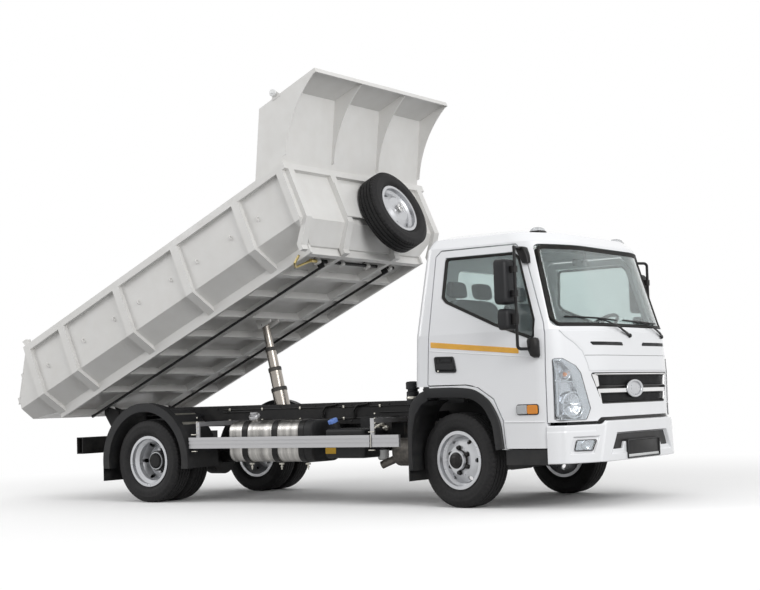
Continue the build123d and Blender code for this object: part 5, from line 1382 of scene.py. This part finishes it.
class TRUCK_OT_cab_inside(bpy.types.Operator):
    """Padded seats with sewn channels and headrests, the inner mirror and two sun visors"""

    bl_idname = "truck.cab_inside"
    bl_label = "Cab inside"

    def execute(self, context):
        cloth, plastic = "seat cloth", "trim plastic"
        for name, y0, y1 in (("driver", 0.180, 0.700), ("passenger", -0.760, 0.060)):
            middle, half = (y0 + y1) / 2, (y1 - y0) / 2
            pads = (
                ("cushion", (0.075, middle, 1.148), (0.252, half, 0.082), (-0.12, 0.0, 0.12), 0.0),
                ("back", (-0.168, middle, 1.452), (0.052, half * 0.97, 0.262), (-0.12, 0.0, 0.12), -0.165),
            )
            for kind, centre, size, channels, lean in pads:
                pad = Shape()
                pad.surface(cushion(centre, size, 0.42, channels, 0.010, lean), caps=True)
                piece = pad.build("%s_%s" % (name, kind), "cab", "seat_fabric", cloth, sharp=60.0)
                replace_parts(piece, "seats")
            rests = (middle,) if name == "driver" else (middle - half / 2, middle + half / 2)
            for index, y in enumerate(rests):
                pad = Shape()
                pad.surface(
                    cushion((-0.232, y, 1.795), (0.042, 0.125, 0.070), 0.5, (), 0.0, -0.165), caps=True
                )
                piece = pad.build(
                    "%s_headrest_%d" % (name, index + 1), "cab", "seat_fabric", cloth, sharp=60.0
                )
                posts = Shape()
                for side in (-0.05, 0.05):
                    posts.surface(pipe([(-0.205, y + side, 1.64), (-0.225, y + side, 1.76)], 0.006, 8))
                posts.build("%s_headrest_posts_%d" % (name, index + 1), "cab", "zinc_steel", "zinc")
            base = Shape()
            foot = box_outline(0.36, (y1 - y0) * 0.86, 0.03)
            base.surface(np.array([np.column_stack([foot * scale + (0.075, middle), np.full(len(foot), z)])
                                   for z, scale in ((1.038, 1.0), (1.080, 1.0), (1.085, 0.98))]))
            base.build(name + "_seat_base", "cab", "interior_black", "black plastic")
        fittings = Shape()
        panel = slab(box_outline(0.245, 0.062, 0.026, 6), 0.0, 0.028, 0.010, 4)
        fittings.surface(carry(panel, (0.640, 0.0, 1.985), (0, 1, 0), (0.12, 0, 1), (1, 0, -0.12)))
        fittings.surface(pipe([(0.668, 0.0, 1.985), (0.705, 0.0, 2.045), (0.700, 0.0, 2.085)], 0.008, 8))
        visor = slab(box_outline(0.560, 0.150, 0.030, 6), 0.0, 0.016, 0.006, 3)
        for y in (-0.400, 0.400):
            fittings.surface(carry(visor, (0.560, y, 2.090), (0, 1, 0), (1, 0, -0.10), (0.10, 0, 1)))
        fittings.build("cab_fittings", "cab", "interior_grey", plastic)
        return {"FINISHED"}


# ---------------------------------------------------------------- chassis side
TANK_MIDDLE = (-0.690, 0.553)
TANK_HALF = (0.215, 0.183)
STRAP_X = (-2.319, -1.974, -1.674)


def ring_of(points, x0, x1, outline, thickness):
    """A strap round a section: its outline at the inner and outer faces, at both edges."""
    loops = [(x0, 0.0), (x0, -thickness), (x1, -thickness), (x1, 0.0)]
    grid = [np.column_stack([np.full(len(outline), x), inset(outline, d) + points]) for x, d in loops]
    return np.array(grid)


class TRUCK_OT_chassis_side(bpy.types.Operator):
    """Tank straps and filler, urea cap and tag, filter, valves, pipes, clamps and fender trim"""

    bl_idname = "truck.chassis_side"
    bl_label = "Chassis side"

    def execute(self, context):
        black, dark, zinc = "satin black", "black plastic", "zinc"
        section = box_outline(2 * TANK_HALF[0] + 0.013, 2 * TANK_HALF[1] + 0.013, 0.098, 9)
        straps, edges, bolts = Shape(), Shape(), Shape()
        for x in STRAP_X:
            straps.surface(
                ring_of(TANK_MIDDLE, x - 0.030, x + 0.030, section, 0.004), rows_close=True, caps=False
            )
            for edge in (x - 0.026, x + 0.026):
                edges.surface(
                    ring_of(TANK_MIDDLE, edge - 0.002, edge + 0.002, inset(section, -0.004), 0.0015),
                    rows_close=True, caps=False
                )
            foot = (x, TANK_MIDDLE[0] - 0.120, TANK_MIDDLE[1] - TANK_HALF[1] - 0.008)
            bolts.surface(pipe([foot, (foot[0], foot[1], foot[2] - 0.062)], 0.006, 8))
            bolts.surface(
                pipe(
                    [
                        (foot[0] - 0.022, foot[1], foot[2] - 0.010),
                        (foot[0] + 0.022, foot[1], foot[2] - 0.010)
                    ],
                    0.009, 10
                )
            )
            bolts.turned(
                nut_profile(0.011, 0.016), 6, (foot[0], foot[1], foot[2] - 0.030), *axes_along((0, 0, -1))
            )
        straps.build("tank_straps", "chassis", "chassis_black", black)
        edges.build("tank_strap_edges", "chassis", "zinc_steel", zinc)
        bolts.build("tank_bolts", "chassis", "zinc_steel", zinc)
        end = Shape()
        tank_end = box_outline(2 * TANK_HALF[0] + 0.006, 2 * TANK_HALF[1] + 0.006, 0.096, 9)
        stages = (
            (-1.672, 0.004), (-1.672, 0.0), (-1.580, 0.0), (-1.562, 0.006), (-1.554, 0.022), (-1.552, 0.060)
        )
        end.surface(
            np.array(
                [
                    np.column_stack([np.full(len(tank_end), x), inset(tank_end, d) + TANK_MIDDLE]) for x,
                    d in stages
                ]
            )
        )
        end.build("tank_end_cover", "chassis", "black_plastic", dark)
        filler = Shape()
        neck, top = np.array((-2.270, -0.780, 0.703)), np.array((-2.270, -0.820, 0.778))
        axes = axes_along(top - neck)
        ring = [
            (0, -0.004), (0.046, -0.004), (0.050, 0.000), (0.050, 0.024), (0.046, 0.030), (0.020, 0.032),
            (0, 0.032)
        ]
        filler.turned(ring, 40, top - axes[2] * 0.012, *axes)
        grip = slab(box_outline(0.070, 0.016, 0.007), 0.018, 0.040, 0.004)
        filler.surface(carry(grip, top, *axes))
        filler.build("tank_cap", "chassis", "zinc_steel", "guard metal")
        cap = Shape()
        neck, top = np.array((-1.360, -0.800, 0.640)), np.array((-1.375, -0.825, 0.712))
        axes = axes_along(top - neck)
        turn = np.linspace(0, 2 * math.pi, 96, endpoint=False)
        lobes = 1 + 0.10 * np.abs(np.cos(4 * turn)) ** 0.7
        profile = np.array(
            [(0.036, -0.016), (0.040, -0.012), (0.041, 0.014), (0.037, 0.020), (0.020, 0.023), (0.001, 0.023)]
        )
        grid = np.stack(
            [
                np.outer(profile[:, 0], np.cos(turn) * lobes), np.outer(profile[:, 0], np.sin(turn) * lobes),
                np.broadcast_to(profile[:, 1:], (6, 96))
            ],
            -1
        )
        cap.surface(carry(grid, top + axes[2] * 0.006, *axes))
        cap.build("urea_cap", "chassis", "black_plastic", "cap blue")
        tag = Shape()
        plate = slab(box_outline(0.112, 0.052, 0.004, 3), 0.0, 0.003, 0.001, 3)
        tag.surface(carry(plate, (-1.368, -0.880, 0.466), *FACING_RIGHT))
        tag.build("urea_tag", "chassis", "tank_aluminium", "tag yellow")
        unit = Shape()
        bowl_profile = [
            (0, -0.082), (0.036, -0.080), (0.048, -0.066), (0.050, 0.0), (0.053, 0.004), (0.053, 0.012),
            (0, 0.012)
        ]
        unit.turned(bowl_profile, 40, (-1.010, -0.600, 0.452), *UPRIGHT)
        unit.build("filter_bowl", "chassis", "lamp_clear", "white plastic")
        carrier = Shape()
        heads = [(0, 0.010), (0.056, 0.010), (0.058, 0.050), (0.040, 0.062), (0, 0.064)]
        carrier.turned(heads, 40, (-1.010, -0.600, 0.452), *UPRIGHT)
        wall = slab(box_outline(0.180, 0.300, 0.012), 0.0, 0.008, 0.002)
        carrier.surface(carry(wall, (-1.040, -0.540, 0.600), *FACING_RIGHT))
        shelf = slab(box_outline(0.110, 0.125, 0.012), 0.0, 0.008, 0.002)
        carrier.surface(carry(shelf, (-1.010, -0.484, 0.740), *UPRIGHT))
        carrier.build("filter_carrier", "chassis", "chassis_black", black)
        valve = Shape()
        for x, z, r in (
            (-1.085, 0.655, 0.026), (-1.045, 0.675, 0.020), (-1.000, 0.645, 0.024), (-1.060, 0.610, 0.018)
        ):
            body = [
                (0, -0.014), (r, -0.012), (r * 1.05, 0.020), (r * 0.7, 0.030), (r * 0.4, 0.046), (0, 0.048)
            ]
            valve.turned(body, 24, (x, -0.556, z), *FACING_RIGHT)
        valve.build("valve_block", "chassis", "zinc_steel", zinc)
        pipes = Shape()
        for x0, x1, y, z in (
            (-2.980, -2.620, -0.432, 0.818), (-1.154, -0.600, -0.432, 0.784), (-2.980, -0.600, -0.430, 0.840),
            (-2.980, -0.600, -0.430, 0.736)
        ):
            pipes.surface(pipe([(x0, y, z), (x1, y, z)], 0.006, 8))
        for x in (-1.780, -1.430):
            pipes.surface(
                pipe(
                    rounded(
                        [
                            (x, -0.438, 0.736), (x, -0.446, 0.800), (x + 0.040, -0.446, 0.850),
                            (x + 0.160, -0.440, 0.862)
                        ],
                        0.030, 6, closed=False
                    ),
                    0.010, 10
                )
            )
        pipes.build("air_pipes", "chassis", "chassis_black", black)
        clips = Shape()
        for x in (-2.900, -2.500, -2.050, -1.550, -1.150, -0.720):
            for z in (0.840, 0.736):
                clip = slab(box_outline(0.018, 0.026, 0.004, 3), 0.0, 0.014, 0.003)
                clips.surface(carry(clip, (x, -0.425, z), *FACING_RIGHT))
        clips.build("pipe_clips", "chassis", "zinc_steel", zinc)
        rivets = Shape()
        dome = lathe([(0.0115, -0.001), (0.0105, 0.004), (0.006, 0.007), (0.0005, 0.008)], 8)
        for side in (-1, 1):
            for x in np.concatenate([np.arange(-4.300, -2.900, 0.155), np.arange(-2.700, 0.600, 0.205)]):
                for z in (0.712, 0.852):
                    rivets.surface(
                        carry(dome, (x, side * 0.425, z), (1, 0, 0), (0, 0, 1), (0, side, 0)), True, False,
                        False
                    )
        rivets.build("frame_rivets", "chassis", "chassis_black", "chassis paint")
        for side, name in ((1, "left"), (-1, "right")):
            flip = np.array((1, side, 1))
            guard = Shape()
            for x in (-2.835, -0.835):
                for z0, z1 in ((0.470, 0.478), (0.622, 0.630)):
                    piece = slab(box_outline(0.060, z1 - z0, 0.003, 3), 0.0, 0.024, 0.002)
                    guard.surface(carry(piece, (x, 0.996, (z0 + z1) / 2), *FACING_LEFT) * flip)
                for z in (0.660, 0.700, 0.740, 0.780):
                    bolt = carry(
                        lathe([(0, 0.006), (0.006, 0.005), (0.008, 0.0), (0, -0.002)], 6),
                        (x + 0.022, 0.988, z), (1, 0, 0), (0, 0, 1), (0, 1, 0)
                    )
                    guard.surface(bolt * flip, True, False, False)
            joint = slab(box_outline(0.008, 0.108, 0.002, 3), 0.0, 0.0012, 0.0004)
            guard.surface(carry(joint, (-0.845, 1.014, 0.550), *FACING_LEFT) * flip)
            guard.build("guard_fittings_" + name, "chassis", "zinc_steel", zinc)
            bands = Shape()
            for degrees, width in ((46.0, 0.030), (64.0, 0.026), (20.0, 0.030)):
                turn = math.radians(degrees)
                out = np.array((math.cos(turn), 0, math.sin(turn)))
                across = np.array([(REAR_AXLE_X, y, AXLE_Z) + out * 0.481 for y in (0.560, 0.950)])
                bands.surface(
                    strip(
                        across * flip, np.tile(out, (2, 1)), box_outline(width, 0.004, 0.0015, 3),
                        closed=False
                    )
                )
            bands.build("fender_bands_" + name, "chassis", "zinc_steel", zinc)
        stack = Shape()
        profile = [
            (0, -0.150), (0.022, -0.150), (0.026, -0.060), (0.050, -0.040), (0.054, 0.0), (0.054, 0.070),
            (0.044, 0.078), (0.044, 0.092), (0.058, 0.096), (0.058, 0.150), (0.050, 0.158), (0.020, 0.162),
            (0, 0.162)
        ]
        stack.turned(profile, 40, (-0.682, -0.600, 0.880), *UPRIGHT)
        arm = slab(box_outline(0.050, 0.180, 0.010), 0.0, 0.010, 0.002)
        stack.surface(carry(arm, (-0.682, -0.510, 0.820), *UPRIGHT))
        stack.build("oil_filler", "chassis", "black_plastic", dark)
        collar = Shape()
        collar.turned(
            [(0.055, 0.010), (0.0565, 0.012), (0.0565, 0.030), (0.055, 0.032)], 40, (-0.682, -0.600, 0.880),
            *UPRIGHT, closed=True
        )
        collar.build("oil_filler_band", "chassis", "zinc_steel", zinc)
        return {"FINISHED"}


# ---------------------------------------------------------------- arch flares, fender edges, tail lamps and hoist collars
FLARE_EDGE = (
    (0.467, 0.478), (0.463, 0.505), (0.438, 0.700), (0.344, 0.866), (0.202, 0.958), (0.0, 0.974),
    (-0.245, 0.974)
)
# across the flare's edge, and out of the cab's side
FLARE_SECTION = (
    (0.0, 0.0), (0.0, 0.014), (-0.006, 0.021), (-0.030, 0.0235), (-0.060, 0.021), (-0.078, 0.012),
    (-0.082, 0.0), (-0.082, -0.045), (-0.076, -0.045), (-0.076, -0.002)
)


class TRUCK_OT_flares(bpy.types.Operator):
    """Wide black flares round the front arches, their crown carried along the arch's edge"""

    bl_idname = "truck.flares"
    bl_label = "Arch flares"

    def execute(self, context):
        edge = softened(resample(rounded(FLARE_EDGE, 0.170, 12, closed=False), 70), 6)
        path = np.column_stack([edge[:, 0], np.full(70, 1.0325), edge[:, 1]])
        flare = Shape()
        flare.surface(strip(path, np.tile((0.0, 1.0, 0.0), (70, 1)), FLARE_SECTION, closed=False))
        flare = flare.mirrored().build("flares", "cab", "black_plastic", "black plastic")
        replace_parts(flare, "arch_flares")
        fender = Shape()
        outer = (
            (-0.262, 0.966), (-0.340, 0.938), (-0.418, 0.872), (-0.452, 0.800), (-0.466, 0.700),
            (-0.466, 0.300)
        )
        inner = (
            (-0.428, 0.300), (-0.436, 0.430), (-0.424, 0.620), (-0.392, 0.750), (-0.330, 0.835),
            (-0.262, 0.872)
        )
        edge = resample(rounded(outer + inner, 0.012, 4), 110, True)
        plate = slab(edge, 0.0, 0.022, 0.008, 5)
        fender.surface(carry(plate, (0.0, 0.990, 0.0), *FACING_LEFT))
        line = resample(rounded(inner, 0.050, 6, closed=False), 40)
        liner = np.column_stack([line[:, 0] - 0.004, np.full(40, 0.840), line[:, 1]])
        along = np.gradient(line, axis=0)
        normal = np.column_stack([-along[:, 1], np.zeros(40), along[:, 0]])
        normal = normal / np.linalg.norm(normal, axis=1)[:, None]
        fender.surface(strip(liner, normal, box_outline(0.320, 0.004, 0.001, 3), closed=False))
        web = slab(box_outline(0.300, 0.084, 0.010, 3), 0.0, 0.006, 0.001, 3)
        fender.surface(carry(web, (-0.290, 0.640, 0.888), *FACING_RIGHT))
        fender.mirrored().build("front_fender_edges", "chassis", "black_plastic", "black plastic")
        return {"FINISHED"}


class TRUCK_OT_tail(bpy.types.Operator):
    """Tail lamps: black housings with red, amber and clear lenses"""

    bl_idname = "truck.tail"
    bl_label = "Tail lamps"

    def execute(self, context):
        housing = Shape()
        shell = slab(box_outline(0.320, 0.120, 0.014), 0.0, 0.034, 0.006)
        housing.surface(carry(shell, (-4.400, 0.720, 0.538), *FACING_REAR))
        housing = housing.mirrored().build("tail_lamp_housings", "chassis", "black_plastic", "black plastic")
        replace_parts(housing, "tail_lamps")
        for kind, y, width in (("red", 0.790, 0.140), ("amber", 0.670, 0.088), ("clear", 0.598, 0.048)):
            lens = Shape()
            face = slab(box_outline(width, 0.100, 0.010), 0.0, 0.012, 0.004)
            lens.surface(carry(face, (-4.430, y, 0.538), *FACING_REAR))
            material = {"red": "red lens", "amber": "amber lens", "clear": "ribbed lens"}[kind]
            lens.mirrored().build("tail_lens_" + kind, "chassis", "lamp_red", material)
        return {"FINISHED"}


class TRUCK_OT_hoist_collars(bpy.types.Operator):
    """Dark gland rings at the top of the hoist's barrel and stages"""

    bl_idname = "truck.hoist_collars"
    bl_label = "Hoist collars"

    def execute(self, context):
        foot = np.array(JOINTS["hoist_swing"]["pos_m"])
        axis = on_bed((2.100, 0.0, 0.0)) - foot
        axis = axis / np.linalg.norm(axis)
        for name, radius in (("barrel", 0.088), ("stage_1", 0.074), ("stage_2", 0.061), ("stage_3", 0.049)):
            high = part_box("hoist_" + name)[1][2]
            reach = (high - foot[2] - radius * abs(axis[0])) / axis[2]
            ring = Shape()
            profile = [
                (radius - 0.001, -0.040), (radius + 0.003, -0.038), (radius + 0.004, -0.010),
                (radius + 0.001, -0.001), (radius - 0.001, -0.001)
            ]
            ring.turned(profile, 48, foot + axis * reach, *axes_along(axis), closed=True)
            ring.build("gland_" + name, "hoist_" + name, "hoist_steel", "cast iron", place=np.asarray)
        return {"FINISHED"}


# ---------------------------------------------------------------- bed
def rope_hook(x, z, side):
    """A round hook welded to the bed's side: a half ring whose foot stands on the sheet."""
    turn = np.linspace(0, math.pi, 12)
    path = np.column_stack([np.full(12, x), side * (1.056 + 0.020 * np.sin(turn)), z + 0.018 * np.cos(turn)])
    return pipe(path, 0.0055, 8)


class TRUCK_OT_bed_fittings(bpy.types.Operator):
    """Tarpaulin hooks and roller, the gate's hand lever in zinc and its shaft clamps"""

    bl_idname = "truck.bed_fittings"
    bl_label = "Bed fittings"

    def execute(self, context):
        hooks = Shape()
        for side in (-1, 1):
            for x in (0.220, 0.768, 1.228, 1.583, 2.039, 2.396, 2.850, 3.204):
                hooks.surface(rope_hook(x, 0.475, side))
        hooks.build("rope_hooks", "bed", "bed_white", "bed paint", place=on_bed)
        clamps = Shape()
        for y in (-0.560, -0.200, 0.200, 0.560):
            block = slab(box_outline(0.064, 0.060, 0.012), -0.017, 0.017, 0.003)
            clamps.surface(carry(block, (3.300, y, 0.034), *FACING_RIGHT))
        clamps.build("shaft_clamps", "bed", "bed_white", "bed paint", place=on_bed)
        lever = Shape()
        path = rounded(
            [
                (3.300, -0.640, 0.034), (3.240, -0.830, -0.014), (3.300, -0.912, -0.014),
                (3.379, -0.918, 0.026)
            ],
            0.030, 7, closed=False
        )
        lever.surface(pipe(path, 0.0112, 14))
        lever.surface(pipe([(3.300, -0.660, 0.034), (3.300, -0.545, 0.034)], 0.0170, 20))
        lever.build("gate_lever", "bed", "zinc_steel", "yellow zinc", place=on_bed)
        roller = Shape()
        profile = [
            (0, 0.030), (0.008, 0.030), (0.010, 0.024), (0.022, 0.024), (0.032, 0.020), (0.032, 0.004),
            (0.022, 0.0), (0, 0)
        ]
        roller.turned(profile, 32, (COVER_ROLLER[0], -1.058, COVER_ROLLER[1]), *FACING_RIGHT)
        roller.mirrored().build("cover_rollers", "bed", "zinc_steel", "white plastic", place=on_bed)
        ear = Shape()
        plate = slab(
            rounded([(-0.050, -0.060), (0.070, -0.060), (0.022, 0.014), (-0.018, 0.014)], 0.012, 5), 0.0,
            0.006, 0.001, 3
        )
        ear.surface(carry(plate, (COVER_ROLLER[0], -1.052, COVER_ROLLER[1]), *FACING_RIGHT))
        ear.mirrored().build("roller_ears", "bed", "bed_white", "bed paint", place=on_bed)
        return {"FINISHED"}


# ---------------------------------------------------------------- stage
def look(position, yaw, pitch, roll):
    """Camera matrix from its place and angles: forward from yaw and pitch, then rolled about itself."""
    forward = np.array((-math.sin(yaw) * math.cos(pitch), math.cos(yaw) * math.cos(pitch), -math.sin(pitch)))
    right = np.array((math.cos(yaw), math.sin(yaw), 0.0))
    up = np.cross(right, forward)
    r = math.cos(roll) * right + math.sin(roll) * up
    u = -math.sin(roll) * right + math.cos(roll) * up
    matrix = np.eye(4)
    matrix[:3, 0], matrix[:3, 1], matrix[:3, 2], matrix[:3, 3] = r, u, -forward, position
    return Matrix(matrix.tolist())


def seen_directly(tree):
    """1 for rays from the camera, mirrors and glass, 0 for the light that bounces between surfaces."""
    path = node(tree, "ShaderNodeLightPath")
    first = node(tree, "ShaderNodeMath", operation="MAXIMUM")
    tree.links.new(path.outputs["Is Camera Ray"], first.inputs[0])
    tree.links.new(path.outputs["Is Glossy Ray"], first.inputs[1])
    second = node(tree, "ShaderNodeMath", operation="MAXIMUM")
    tree.links.new(first.outputs[0], second.inputs[0])
    tree.links.new(path.outputs["Is Transmission Ray"], second.inputs[1])
    return second.outputs[0]


def floor_finish():
    """Pale floor: near white where it is seen, greyer for the light it throws back, plain white far out."""
    made = bpy.data.materials.new("floor")
    made.use_nodes = True
    tree = made.node_tree
    shader = tree.nodes["Principled BSDF"]
    length = node(tree, "ShaderNodeVectorMath", operation="LENGTH")
    tree.links.new(node(tree, "ShaderNodeTexCoord").outputs["Object"], length.inputs[0])
    far = node(tree, "ShaderNodeMapRange", interpolation_type="SMOOTHSTEP")
    far.inputs["From Min"].default_value, far.inputs["From Max"].default_value = 3.4, 8.5
    tree.links.new(length.outputs["Value"], far.inputs["Value"])
    seen_far = node(tree, "ShaderNodeMath", operation="MULTIPLY")
    tree.links.new(far.outputs["Result"], seen_far.inputs[0])
    tree.links.new(seen_directly(tree), seen_far.inputs[1])
    white = node(tree, "ShaderNodeEmission")
    mixed = node(tree, "ShaderNodeMixShader")
    tree.links.new(seen_far.outputs["Value"], mixed.inputs[0])
    tree.links.new(shader.outputs[0], mixed.inputs[1])
    tree.links.new(white.outputs[0], mixed.inputs[2])
    tree.links.new(mixed.outputs[0], tree.nodes["Material Output"].inputs["Surface"])
    shader.inputs["Roughness"].default_value = 0.9
    shader.inputs["Specular IOR Level"].default_value = 0.1
    tree.links.new(
        blend(tree, seen_directly(tree), (0.26, 0.26, 0.26), (0.96, 0.96, 0.96)), shader.inputs["Base Color"]
    )
    return made


def area_light(name, place, target, size, power):
    """A soft rectangular lamp aimed at a point."""
    data = bpy.data.lights.new(name, "AREA")
    data.shape = "RECTANGLE"
    data.size, data.size_y = size
    data.energy = power
    lamp = bpy.data.objects.new(name, data)
    u, v, w = axes_along(np.subtract(place, target))
    matrix = np.eye(4)
    matrix[:3, 0], matrix[:3, 1], matrix[:3, 2], matrix[:3, 3] = u, v, w, place
    lamp.matrix_world = Matrix(matrix.tolist())
    bpy.context.scene.collection.objects.link(lamp)


class TRUCK_OT_stage(bpy.types.Operator):
    """Pale floor, soft lamps, even surroundings and the camera"""

    bl_idname = "truck.stage"
    bl_label = "Stage"

    def execute(self, context):
        settings = context.scene.truck_stage
        floor = Shape()
        half = settings.floor_size / 2
        floor.surface(
            [[(-half, -half, 0), (half, -half, 0)], [(-half, half, 0), (half, half, 0)]], cols_close=False
        )
        mesh = bpy.data.meshes.new("floor")
        mesh.from_pydata(np.vstack(floor.points).tolist(), [], floor.faces)
        mesh.materials.append(floor_finish())
        piece = bpy.data.objects.new("floor", mesh)
        context.scene.collection.objects.link(piece)
        area_light("key", (12.0, -5.0, 6.0), (0.0, 0.0, 1.3), (7.0, 5.0), settings.key_power)
        area_light("fill", (-9.0, -7.0, 6.0), (0.0, 0.0, 1.4), (6.0, 5.0), settings.fill_power)
        world = bpy.data.worlds.new("surroundings")
        world.use_nodes = True
        tree = world.node_tree
        background = tree.nodes["Background"]
        sky = blend(tree, seen_directly(tree), (settings.sky_level,) * 3, (1.0, 1.0, 1.0))
        tree.links.new(sky, background.inputs["Color"])
        background.inputs["Strength"].default_value = 1.0
        context.scene.world = world
        data = bpy.data.cameras.new("camera")
        data.sensor_width = 36.0
        data.lens = settings.lens
        data.clip_end = 200.0
        camera = bpy.data.objects.new("camera", data)
        place = truck((6.473, -11.169, 0.900))
        camera.matrix_world = look(place, math.radians(35.24), math.radians(-3.99), math.radians(-1.81))
        context.scene.collection.objects.link(camera)
        context.scene.camera = camera
        context.scene.view_settings.view_transform = "Standard"
        return {"FINISHED"}


class TRUCK_OT_finishes(bpy.types.Operator):
    """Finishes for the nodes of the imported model"""

    bl_idname = "truck.finishes"
    bl_label = "Finishes"

    def execute(self, context):
        make_materials()
        for name, wanted in NODE_FINISH.items():
            for slot in frame["nodes"][name].material_slots:
                slot.material = MATERIALS[wanted]
        return {"FINISHED"}


# ---------------------------------------------------------------- settings, panel and registration
class TruckSizes(bpy.types.PropertyGroup):
    """Sizes of the detail pieces."""

    tyre_radius: bpy.props.FloatProperty(
        name="Tyre radius", description="Outer radius of every tyre", default=0.384, unit="LENGTH"
    )
    tyre_width: bpy.props.FloatProperty(
        name="Tyre width", description="Widest part of a tyre", default=0.211, unit="LENGTH"
    )
    rim_radius: bpy.props.FloatProperty(
        name="Rim radius", description="Radius of a rim's flange", default=0.237, unit="LENGTH"
    )
    tread_depth: bpy.props.FloatProperty(
        name="Tread depth", description="Depth of the tread's grooves", default=0.010, unit="LENGTH"
    )
    nut_circle: bpy.props.FloatProperty(
        name="Nut circle", description="Radius of the circle that the wheel nuts stand on", default=0.101,
        unit="LENGTH"
    )
    mesh_pitch: bpy.props.FloatProperty(
        name="Mesh pitch", description="Width of a diamond in the grille's mesh", default=0.026, unit="LENGTH"
    )
    nut_radius: bpy.props.FloatProperty(
        name="Nut radius", description="Radius of a capped wheel nut", default=0.0165, unit="LENGTH"
    )


class TruckColours(bpy.types.PropertyGroup):
    """Colours that an owner would choose."""

    cab: bpy.props.FloatVectorProperty(
        name="Cab", description="Colour of the cab's paint", default=(0.80, 0.81, 0.83), subtype="COLOR",
        min=0, max=1
    )
    bed: bpy.props.FloatVectorProperty(
        name="Bed", description="Colour of the bed's paint", default=(0.72, 0.715, 0.700), subtype="COLOR",
        min=0, max=1
    )
    chassis: bpy.props.FloatVectorProperty(
        name="Chassis", description="Colour of the chassis' paint", default=(0.016, 0.016, 0.017),
        subtype="COLOR", min=0, max=1
    )
    stripe: bpy.props.FloatVectorProperty(
        name="Stripe", description="Colour of the stripe along the cab", default=(0.78, 0.40, 0.04),
        subtype="COLOR", min=0, max=1
    )


class TruckStage(bpy.types.PropertyGroup):
    """Lamps, floor and lens of the stage."""

    floor_size: bpy.props.FloatProperty(
        name="Floor size", description="Side of the square floor", default=120.0, unit="LENGTH"
    )
    key_power: bpy.props.FloatProperty(
        name="Key power", description="Power of the front lamp in watts", default=740.0
    )
    fill_power: bpy.props.FloatProperty(
        name="Fill power", description="Power of the rear lamp in watts", default=380.0
    )
    sky_level: bpy.props.FloatProperty(
        name="Sky level", description="How bright the even surroundings are", default=0.76
    )
    lens: bpy.props.FloatProperty(
        name="Lens", description="Focal length of the camera in millimetres", default=70.50
    )


OPERATORS = (
    TRUCK_OT_stage, TRUCK_OT_finishes, TRUCK_OT_tyres, TRUCK_OT_wheel_trim, TRUCK_OT_glazing, TRUCK_OT_nose,
    TRUCK_OT_grille, TRUCK_OT_lamps, TRUCK_OT_bumper, TRUCK_OT_doors, TRUCK_OT_cab_inside,
    TRUCK_OT_chassis_side, TRUCK_OT_flares, TRUCK_OT_tail, TRUCK_OT_hoist_collars, TRUCK_OT_bed_fittings,
)


class TRUCK_PT_panel(bpy.types.Panel):
    """Lists the truck's operators and settings"""

    bl_label = "Tipper truck"
    bl_idname = "TRUCK_PT_panel"
    bl_space_type = "VIEW_3D"
    bl_region_type = "UI"
    bl_category = "Tipper"

    def draw(self, context):
        for group in (context.scene.truck_sizes, context.scene.truck_colours, context.scene.truck_stage):
            for key in group.__annotations__:
                self.layout.prop(group, key)
        for operator in OPERATORS:
            self.layout.operator(operator.bl_idname)


GROUPS = (("truck_sizes", TruckSizes), ("truck_colours", TruckColours), ("truck_stage", TruckStage))
CLASSES = (TruckSizes, TruckColours, TruckStage, *OPERATORS, TRUCK_PT_panel)


def register():
    """Registers the classes and hangs the settings on the scene."""
    for made in CLASSES:
        bpy.utils.register_class(made)
    for name, group in GROUPS:
        setattr(bpy.types.Scene, name, bpy.props.PointerProperty(type=group))


def unregister():
    """Takes the settings and the classes away again."""
    for name, _ in GROUPS:
        delattr(bpy.types.Scene, name)
    for made in reversed(CLASSES):
        bpy.utils.unregister_class(made)


def main():
    """Registers the add-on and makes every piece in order."""
    register()
    for operator in OPERATORS:
        family, name = operator.bl_idname.split(".")
        getattr(getattr(bpy.ops, family), name)()


if __name__ == "__main__":
    main()
